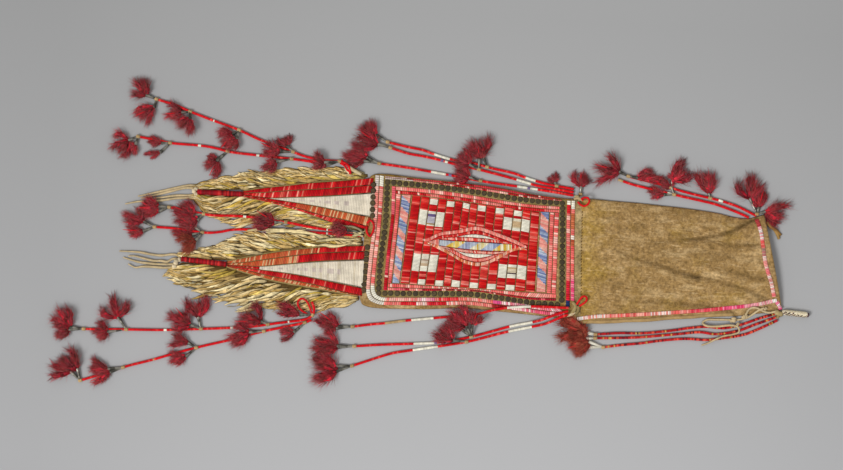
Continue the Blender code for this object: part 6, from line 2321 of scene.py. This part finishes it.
def add_fringe(name, root, tips, dice):
    """A dark sheet of painted shade between the two lines, and the leaves over it."""
    work = Work()
    shares = [i / MAP_STEPS for i in range(MAP_STEPS + 1)]
    root, tips = points_at(flat_line(root), shares), points_at(flat_line(tips), shares)
    total = path_length(root)

    def place(share, across):
        """The point at shares of the fringe's length and of its depth."""
        step = min(MAP_STEPS - 0.001, max(0.0, share * MAP_STEPS))
        here = int(step)
        inner = root[here].lerp(root[here + 1], step - here)
        return inner.lerp(tips[here].lerp(tips[here + 1], step - here), across)

    # The dark sheet beneath the leaves is painted shade: it fills the gaps between them.
    under = []
    for i in range(0, MAP_STEPS + 1, 3):
        ragged = RAGGED + 0.14 * noise.noise(Vector((i * 1.3, total, 3)))
        inner, out = place(i / MAP_STEPS, 0), place(i / MAP_STEPS, ragged)
        under.append([
            (*inner.xy, 0.15), (*inner.xy, 1.0), (*out.xy, 0.6), (*out.xy, 0.15),
        ])
    work.loft(under, [linear("7A6036")] * (len(under) - 1))
    order = sorted(dice.random() * 0.84 for _ in range(LEAVES))
    for leaf, near in enumerate(reversed(order)):
        share = (leaf * GOLDEN_SHARE + dice.uniform(0, 0.02)) % 1
        length = dice.uniform(*LEAF_LONG)
        share = min(share, 1 - 0.8 * length / total)
        far = min(dice.uniform(0.84, 1.12), near + dice.uniform(*LEAF_REACH))
        curve, wave = dice.uniform(0.8, 1.5), dice.uniform(0, math.tau)
        high = 0.8 + (LEAF_TOP - 0.8) * (1 - near) * dice.uniform(0.8, 1.0)
        spots = []
        for joint in range(LEAF_JOINTS + 1):
            t = joint / LEAF_JOINTS
            along_root = share + length / total * t
            spot = place(along_root, near + (far - near) * t ** curve)
            if along_root > 1:
                spot = spot + (root[-1] - root[-2]).normalized() * (along_root - 1) * total
            spot.y += LEAF_KINK * math.sin(wave + 4.5 * t) * t
            spot.z = max(LEAF_LOWEST, high - LEAF_RISE * (1 - t))
            spots.append(spot)
        yellow = near < YELLOW_DEPTH and dice.random() < YELLOW_OFTEN
        wide = LEAF_WIDE * dice.uniform(0.72, 1.12)
        add_leaf(work, spots, wide, dice.choice(YELLOWS if yellow else STRAWS), dice)
    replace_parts(work.finish(name.replace("fringe", "leaves"), CUT_HIDE, "fringe_hide"), name)
    print(name, "has", len(work.faces), "faces")


dice = random.Random(67)
for name, (root, tips) in FRINGES.items():
    add_fringe(name, root, tips, dice)

# %% [markdown]
# A few strips have slipped and lie across the others, on top of them.

# %% Stray strips
STRAY_WIDE = LEAF_WIDE * 0.9
STRAY_STRIPS = [
    [(-213.5, -77.9, 3.6), (-202, -68, 4.2), (-191, -60.8, 4.6)],
    [(-137, 5.2, 4.4), (-130, 8.5, 4.6), (-122.5, 12.6, 6.6)],
    [(-178, -3.4, 4.4), (-165, -1, 4.4), (-153, 1, 4.2), (-140, 0.6, 4), (-128, 4, 4.4)],
    [(-176, -8.6, 4.4), (-168, -6.8, 4.6), (-160, -7.8, 4.5), (-146, -5.6, 4.4), (-136, -1.5, 4.2)],
    [(-218, 4.5, 3.7), (-200, 6, 3.9), (-186, 5.2, 3.9), (-170, 2.8, 3.7)],
    [(-236, 2.8, 3.7), (-222, 5.6, 3.9), (-206, 6.6, 3.9), (-190, 9, 3.5)],
    [(-258, 3.2, 3.6), (-244, 5.6, 3.9), (-228, 6.4, 3.9), (-214, 8.6, 3.5)],
]
strips = Work()
for line in STRAY_STRIPS:
    path = smooth_path(line)
    spots = evenly(path, path_length(path) / LEAF_JOINTS)
    add_leaf(strips, spots, STRAY_WIDE, "DCC894", dice)
strips.finish("stray_strips", CUT_HIDE, "fringe_hide")
print(len(STRAY_STRIPS), "strips lie across the others")

# %% [markdown]
# Bare thong is a strip of the same hide that has rolled in on itself and dried nearly round. It
# ties the tips of the tabs, closes the mouth, and holds every group of pendants. Each end is
# drawn to its own route, and the knots are turns of the same thong round one another.

# %% Bare thongs at the tips
THONG_PAINTED_LIGHT = (0.78, 1.04, 1.06, 0.86, 0.5, 0.42, 0.42, 0.5)  # painted light above and painted shade beneath
THONG_FLAT = 0.72
THONG_STEP = 1.7
TAPER_FROM = 0.6
TIP_THONG = 2.8  # width at the tips of the tabs
BUFF, PALE_BUFF = "C4AE86", "D6C4A2"
TIP_THONGS = {
    "upper_tip_thongs": [
        [
            (-319, 48.5), (-322.5, 50.4), (-328.4, 50.4), (-343.3, 46.4), (-359.9, 41.4),
            (-373.1, 37.5), (-386, 33.8),
        ],
        [
            (-318.8, 46), (-324, 47.3), (-331.6, 47.2), (-347.3, 42.6), (-359.7, 38.6),
            (-371.3, 35), (-382.9, 31.8),
        ],
        [(-319.3, 41.6), (-323.4, 39.6), (-342.7, 37.6), (-357.7, 34.6), (-369.4, 32.4)],
        [
            (-319.2, 39.4), (-325.8, 36.6), (-342.5, 34.4), (-357.5, 31.2), (-367.5, 29.2),
            (-384.3, 27.9), (-400.1, 24),
        ],
    ],
    "lower_tip_thongs": [
        [
            (-332.7, -33.6), (-335.4, -30.8), (-341.4, -30), (-354.8, -32.2), (-366.6, -31.8),
            (-380.2, -30.2), (-403, -30.5),
        ],
        [
            (-334.1, -37.1), (-337.2, -34.8), (-341.8, -35.5), (-347.5, -39), (-354.3, -38.3),
            (-362.7, -38.9), (-373, -37.2), (-385.8, -35), (-392.5, -35.6),
        ],
        [
            (-334.9, -41), (-354, -42.3), (-365.8, -42.3), (-379.4, -41.6), (-388, -40),
            (-398.3, -37.4),
        ],
        [
            (-333.5, -43.7), (-350.4, -46), (-362.2, -45.9), (-374.9, -46.4), (-383.2, -48.1),
            (-387.5, -46.7), (-391.9, -44.5),
        ],
        [(-333, -44.6), (-341.1, -46), (-338.3, -49.6), (-332.3, -50.5), (-319.8, -49.2)],
    ],
}
TIP_KNOTS = {
    "upper_tip_thongs": [
        (-322.1, 44.5, 2.9, 100, 6), (-320, 47, 3.4, 170, 4.6), (-319.8, 41, 2.6, 190, 4.6),
    ],
    "lower_tip_thongs": [
        (-337, -38.4, 3.2, 80, 6.4), (-338.6, -43.4, 2.8, 10, 5.4), (-333.4, -35.6, 2.8, 100, 4.8),
    ],
}


def add_thong(work, path, width, dice, code=BUFF, taper=0.5):
    """A strip of hide rolled in on itself, with one end drawn thin."""
    spots = evenly(path, THONG_STEP)
    rings, dyes, count = [], [], len(spots) - 1
    for i, spot in enumerate(spots):
        wide = width / 2 * (1 + 0.16 * noise.noise(Vector((i * 0.35, spot.y * 0.2, width))))
        wide *= 1 + (taper - 1) * max(0.0, i / count - TAPER_FROM) / (1 - TAPER_FROM)
        way, sides = heading_at(spots, i), len(THONG_PAINTED_LIGHT)
        rings.append(cross_section(spot, way, wide, sides, flat=THONG_FLAT))
        if i:
            dye = varied(code, dice, 0.07)
            dyes.append([with_painted_light(dye, shade) for shade in THONG_PAINTED_LIGHT])
    work.loft(rings, dyes)


for name, lines in TIP_THONGS.items():
    work = Work()
    for number, line in enumerate(lines):
        path = lying_path([(*point, GAP + 0.4 * (number % 2)) for point in line], 2.6)
        add_thong(work, path, TIP_THONG, dice)
    for x, y, z, heading, size in TIP_KNOTS[name]:
        add_knot(work, Vector((x, y, z)), flat_heading(heading), size, dice, PALE_BUFF)
    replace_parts(work.finish(name.replace("thongs", "bare_thongs"), CUT_HIDE, "fringe_hide"), name)
    print(name, "has", len(lines), "thongs")

# %% [markdown]
# The mouth is tied with one thin thong, which runs in a loop round the lower corner, through its
# knots and out over the pendants. It is the one cord here that isn't wrapped with quills.

# %% The thong that ties the mouth
TIE = 2.0
TIE_WIDE = TIE + 0.5  # it has dried flat
TIE_ROUTE = [
    (340, -44, 7), (334, -47, 6.6), (329, -51, 5.6), (323, -55.8, 2.8), (314, -59.4, 0.2),
    (303, -60.4, 0), (288, -61.2), (276, -62.4), (271.4, -66), (276, -69.2, 4),
    (290, -68.6, OVER_STRAND), (303, -66.6, OVER_STRAND), (312, -68, OVER_STRAND),
    (313.5, -73.5, OVER_STRAND), (306, -77, OVER_STRAND), (296, -79.6, OVER_STRAND),
    (287, -84, OVER_STRAND), (280, -88.4, 1.4), (272, -92, 0),
]
TIE_LOOP = [
    (354, -46.9, 5.2), (346.9, -48.9, 5.6), (341.3, -48.4, 5.4), (336.6, -46.7, 6.4),
    (331.9, -44.7, 7), (327.3, -44.4, 7.4), (323.3, -46.3, 6.6), (320.8, -50.6, 5.0),
    (319.7, -54.3, 3.4),
]
TIE_KNOTS = [
    (319.7, -54.8, 3.6, 20, 5.4), (317.6, -56.6, 3.2, 130, 4.6), (306.8, -60, 2.2, 95, 6.2),
    (304.6, -61.4, 2, 10, 4.4), (311.5, -64.5, 5.2, 60, 3.8), (341.5, -44.6, 7.4, 40, 4.2),
]
tie, tie_knots = Work(), Work()
path = lying_path(TIE_ROUTE, TIE)
add_thong(tie, path, TIE_WIDE, dice, taper=0.7)
add_thong(tie_knots, lying_path(TIE_LOOP, TIE), TIE_WIDE, dice, taper=1.0)
for x, y, z, heading, size in TIE_KNOTS:
    add_knot(tie_knots, Vector((x, y, z)), flat_heading(heading), size, dice, BUFF)
tie = tie.finish("mouth_tie", CUT_HIDE, "fringe_hide")
tie_knots = tie_knots.finish("mouth_tie_knots", CUT_HIDE, "fringe_hide")
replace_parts(tie, "mouth_tie_thong")
spots = evenly(path, 3.0)
path_length(spots) * MM
print("the tie is", round(path_length(spots)), "mm long")

# %% [markdown]
# Short thongs and flat ends hold the pendants at their corners, and a forked stub is left at the
# upper corner of the mouth. They are few and all different, so each has its own line.

# %% Thongs that hold the pendants
# The line with heights, the width and the dye.
HOLDERS = [
    ([(336.3, 54.6, 3), (341.7, 49.8, 2.6), (347.3, 46.1, 2.2), (354.4, 40.6, 1.2)], 4.2, "8E6A3A"),
    ([(346, 46.8, 2.4), (350, 41.4, 1.8), (352.4, 36, 1.2)], 3.6, "A8844C"),
    ([(338.1, 33.1, 3.2), (340.6, 23.6, 3.2), (342.6, 14.6, 3), (343.8, 6.4, 2.8)], 1.9, "C88438"),
    ([(113.6, 65.2, 7.6), (117.5, 66.8, 8), (123.4, 64.6, 7.8)], 3.4, "B49A72"),
    ([(114.2, 68.6, 6.8), (118.4, 68.4, 7.4), (120, 63.8, 7.4)], 3.2, "A89468"),
    (
        [(120.4, -52.8, 7), (123.8, -56.8, 7.8), (122.2, -62.4, 7.6), (119.4, -66.4, 6.4)], 4.4,
        "A08C5E",
    ),
    ([(127, -56.6, 7.4), (127.4, -61.6, 7.2), (124.4, -66.2, 6.6)], 4, "8C7A50"),
    ([(115.3, -68.4, 6.8), (119.3, -67.1, 7), (124.8, -63.8, 6.8)], 3.4, "D4C49C"),
    ([(-147, 84, 5), (-139.5, 80.2, 4.6), (-131.5, 76.6, 4.2)], 4.6, "CDBB92"),
    ([(-150.5, 82, 5), (-147.5, 79, 5.2), (-144.5, 76, 4.6)], 3.6, "D8CAA4"),
    (
        [(-124, 9.2, 6.6), (-129.8, 13.6, 5.2), (-139.4, 16.2, 4.6), (-147.6, 14.8, 4.4)], 2.4,
        "8E8468",
    ),
    (
        [(-124.6, 5.8, 6.4), (-133, 8.4, 4.8), (-140.6, 12.8, 4.6), (-146.2, 11.2, 4.5)], 2.4,
        "B8A67C",
    ),
    ([(352.6, -46.2, 4.4), (357.6, -49.4, 4.2), (362, -49.6, 3.8)], 6.6, "A89468"),
    ([(355, -45.2, 3.6), (357.4, -51, 4.4), (356.6, -54.6, 4)], 4, "9C8258"),
]
holders = Work()
for line, width, code in HOLDERS:
    add_thong(holders, smooth_path(line), width, dice, code, taper=0.8)
holders.finish("holding_thongs", CUT_HIDE, "fringe_hide")
print(len(HOLDERS), "holding thongs")

# %% [markdown]
# At the top of each group of pendants one thong, wrapped red like the others, comes up through
# the hide, runs in a small loop, and goes back through it.

# %% Wrapped loops
LOOP = 2.5
LOOPS = {
    "upper_tab_loop": [
        (-155.4, 91.4, 2.2), (-153.8, 89.5, 3.6), (-147.1, 86.1, 5.4), (-144.6, 79.1, 5.6),
        (-148.2, 80.3, 5.6), (-151.2, 85, 5.2), (-156.8, 88.2, 3),
    ],
    "upper_inner_loop": [
        (-121.4, 21.6, 6.2), (-117.4, 24.6, 7.4), (-113.6, 20.6, 7.8), (-113.6, 12.6, 7.8),
        (-116.8, 6.6, 7.6), (-120.4, 10.4, 6.8), (-121.4, 17.6, 6.4),
    ],
    "lower_tab_loop": [
        (-176.5, -88.9, 3.4), (-180.9, -77.8, 5.4), (-184.6, -72.3, 5.6), (-189.4, -70.3, 5.6),
        (-193.2, -72.3, 5.6), (-194, -77.2, 5.6), (-190.2, -83, 5.2), (-180.6, -88.7, 4),
    ],
    "upper_corner_loop": [
        (124, 64.6, 8), (122.4, 65.9, 8.6), (125.8, 68, 8.8), (129.6, 67.6, 8.8),
        (131.3, 64.6, 8.9), (130, 60.9, 9), (126, 58.2, 8.9), (121.2, 59.6, 8.6),
        (118.3, 62.6, 7.8),
    ],
    "lower_corner_loop": [
        (125.2, -54.9, 7.6), (127.9, -50.1, 8.6), (130.7, -45.9, 9.2), (133.5, -44.9, 9.4),
        (136, -46.6, 9.4), (135.8, -50, 9.2), (132.8, -53.3, 8.6), (128.2, -56.7, 7.6),
    ],
}


def loop_dye(distance, dice):
    """The dye of a turn, which is red wherever it lies."""
    return varied(RED, dice, 0.16)


for name, line in LOOPS.items():
    work = Work()
    wrap(work, smooth_path(line), LOOP, loop_dye, dice)
    work.finish(name, QUILL, "red_quill")
print(len(LOOPS), "loops")

# %% [markdown]
# The toggle is a short stick covered with cream quills. Dark ones run over and under them in a
# slanting check, and its outer end is closed with dark ones.

# %% The toggle
TOGGLE_START, TOGGLE_HEADING = (361.4, -47.3), -2.5
TOGGLE_LONG, TOGGLE_WIDE = 31.0, 6.9
TOGGLE_PROFILE = ((0, 0.6), (0.05, 0.85), (0.14, 1), (0.86, 1), (0.95, 0.85), (1, 0.6))
TOGGLE_TURNS = 22
TOGGLE_SIDES = 20
TOGGLE_DARK_END = 0.95
TOGGLE_VALLEY = 0.93  # the stick's radius between two turns, as a share
CREAMS, DARKS = ("E8DAB8", "DCC8A0", "F0E6CC"), ("4A342E", "6A4C50", "3A2C2C")


def along_profile(profile, share):
    """The value of a profile at a share of its length."""
    for (a, low), (b, high) in zip(profile, profile[1:]):
        if share <= b:
            return low + (high - low) * (share - a) / (b - a)
    return profile[-1][1]


work = Work()
way = flat_heading(TOGGLE_HEADING)
start = Vector((*TOGGLE_START, TOGGLE_WIDE / 2 + UNDERSIDE))
rings, dyes = [], []
for step in range(2 * TOGGLE_TURNS + 1):
    share = step / (2 * TOGGLE_TURNS)
    radius = TOGGLE_WIDE / 2 * along_profile(TOGGLE_PROFILE, share)
    radius *= TOGGLE_VALLEY if step % 2 else 1.0
    rings.append(cross_section(start + way * TOGGLE_LONG * share, way, radius, TOGGLE_SIDES))
    if step:
        band = 0.19 + 0.16 * share + 0.05 * math.sin(share * 40)
        row = []
        for i in range(TOGGLE_SIDES):
            turned = ((i + 0.5) / TOGGLE_SIDES - band) % 1
            check = turned < 0.24 and (step // 2 + i) % 3
            cross = 0.4 < turned < 0.62 and step % 4 == 0
            dark = check or share > TOGGLE_DARK_END or cross
            row.append(varied(dice.choice(DARKS if dark else CREAMS), dice, 0.1))
        dyes.append(row)
work.loft(rings, dyes)
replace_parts(work.finish("quilled_toggle", QUILL, "cream_quill"), "mouth_toggle")
print("the toggle has", len(work.faces), "faces")

# %% [markdown]
# The panel and the pouch are sewn together with sinew: a row of short whip stitches that show
# dark on the pale seam. The pouch's lower side is folded under, and its edge stands up as a welt.

# %% Stitches and welt
SEAM_LINE = [(124.2, 54.5), (127.1, -3.8), (129.8, -50)]
STITCH, STITCH_THICK, STITCH_PITCH = 2.1, 0.9, 3.4
STITCH_PROFILE = ((0, 0.5), (0.3, 1), (0.7, 1), (1, 0.5))
STITCH_WAY = Vector((0.35, 1, 0)).normalized()
WELT = [
    (128, -75.4), (160, -72), (192, -68.6), (224, -64.2), (256, -59.6), (288, -55.4), (306, -53),
]
WELT_WIDE, WELT_MIDDLE, WELT_STEP = 5.0, 3.0, 3.0
WELT_WAY = Vector((1, 0.12, 0)).normalized()
# Painted light on the welt's top and painted shade on its sides and beneath.
WELT_PAINTED_LIGHT = (0.7, 0.95, 1.1, 1.1, 0.9, 0.7, 0.5, 0.5, 0.5, 0.5)

stitches = Work()
for spot in evenly(flat_line(SEAM_LINE), STITCH_PITCH)[1:-1]:
    spot = spot + Vector((dice.uniform(-0.2, 0.2), 0, hide_height(spot.x, spot.y) + 0.2))
    rings = [
        cross_section(
            spot + STITCH_WAY * STITCH * (t - 0.5), STITCH_WAY, STITCH_THICK / 2 * share, 6,
        ) for t, share in STITCH_PROFILE
    ]
    stitches.loft(rings, [varied("5C4624", dice, 0.2)] * 3)
stitches.finish("seam_stitches", CUT_HIDE, "fringe_hide")
welt = Work()
rings, dyes = [], []
for i, spot in enumerate(evenly(flat_line(WELT), WELT_STEP)):
    wide = WELT_WIDE / 2 * (1 + 0.12 * noise.noise(Vector((i * 0.3, 5, 5))))
    middle = spot + Vector((0, 0.3 * math.sin(i * 0.4), WELT_MIDDLE))
    rings.append(cross_section(middle, WELT_WAY, wide, len(WELT_PAINTED_LIGHT), flat=0.85))
    if i:
        dyes.append([with_painted_light(varied("A88A5C", dice, 0.08), shade) for shade in WELT_PAINTED_LIGHT])
welt.loft(rings, dyes)
welt.finish("lower_side_welt", CUT_HIDE, "smoked_hide")
print("the seam has", len(stitches.faces), "faces, the welt", len(welt.faces))

# %% The sizes of the dressed bag
low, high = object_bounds()
{"cad": [list(cad_low), list(cad_high)], "visual": [list(low), list(high)]}
print("the dressed bag measures", [round(size / MM) for size in high - low], "mm")
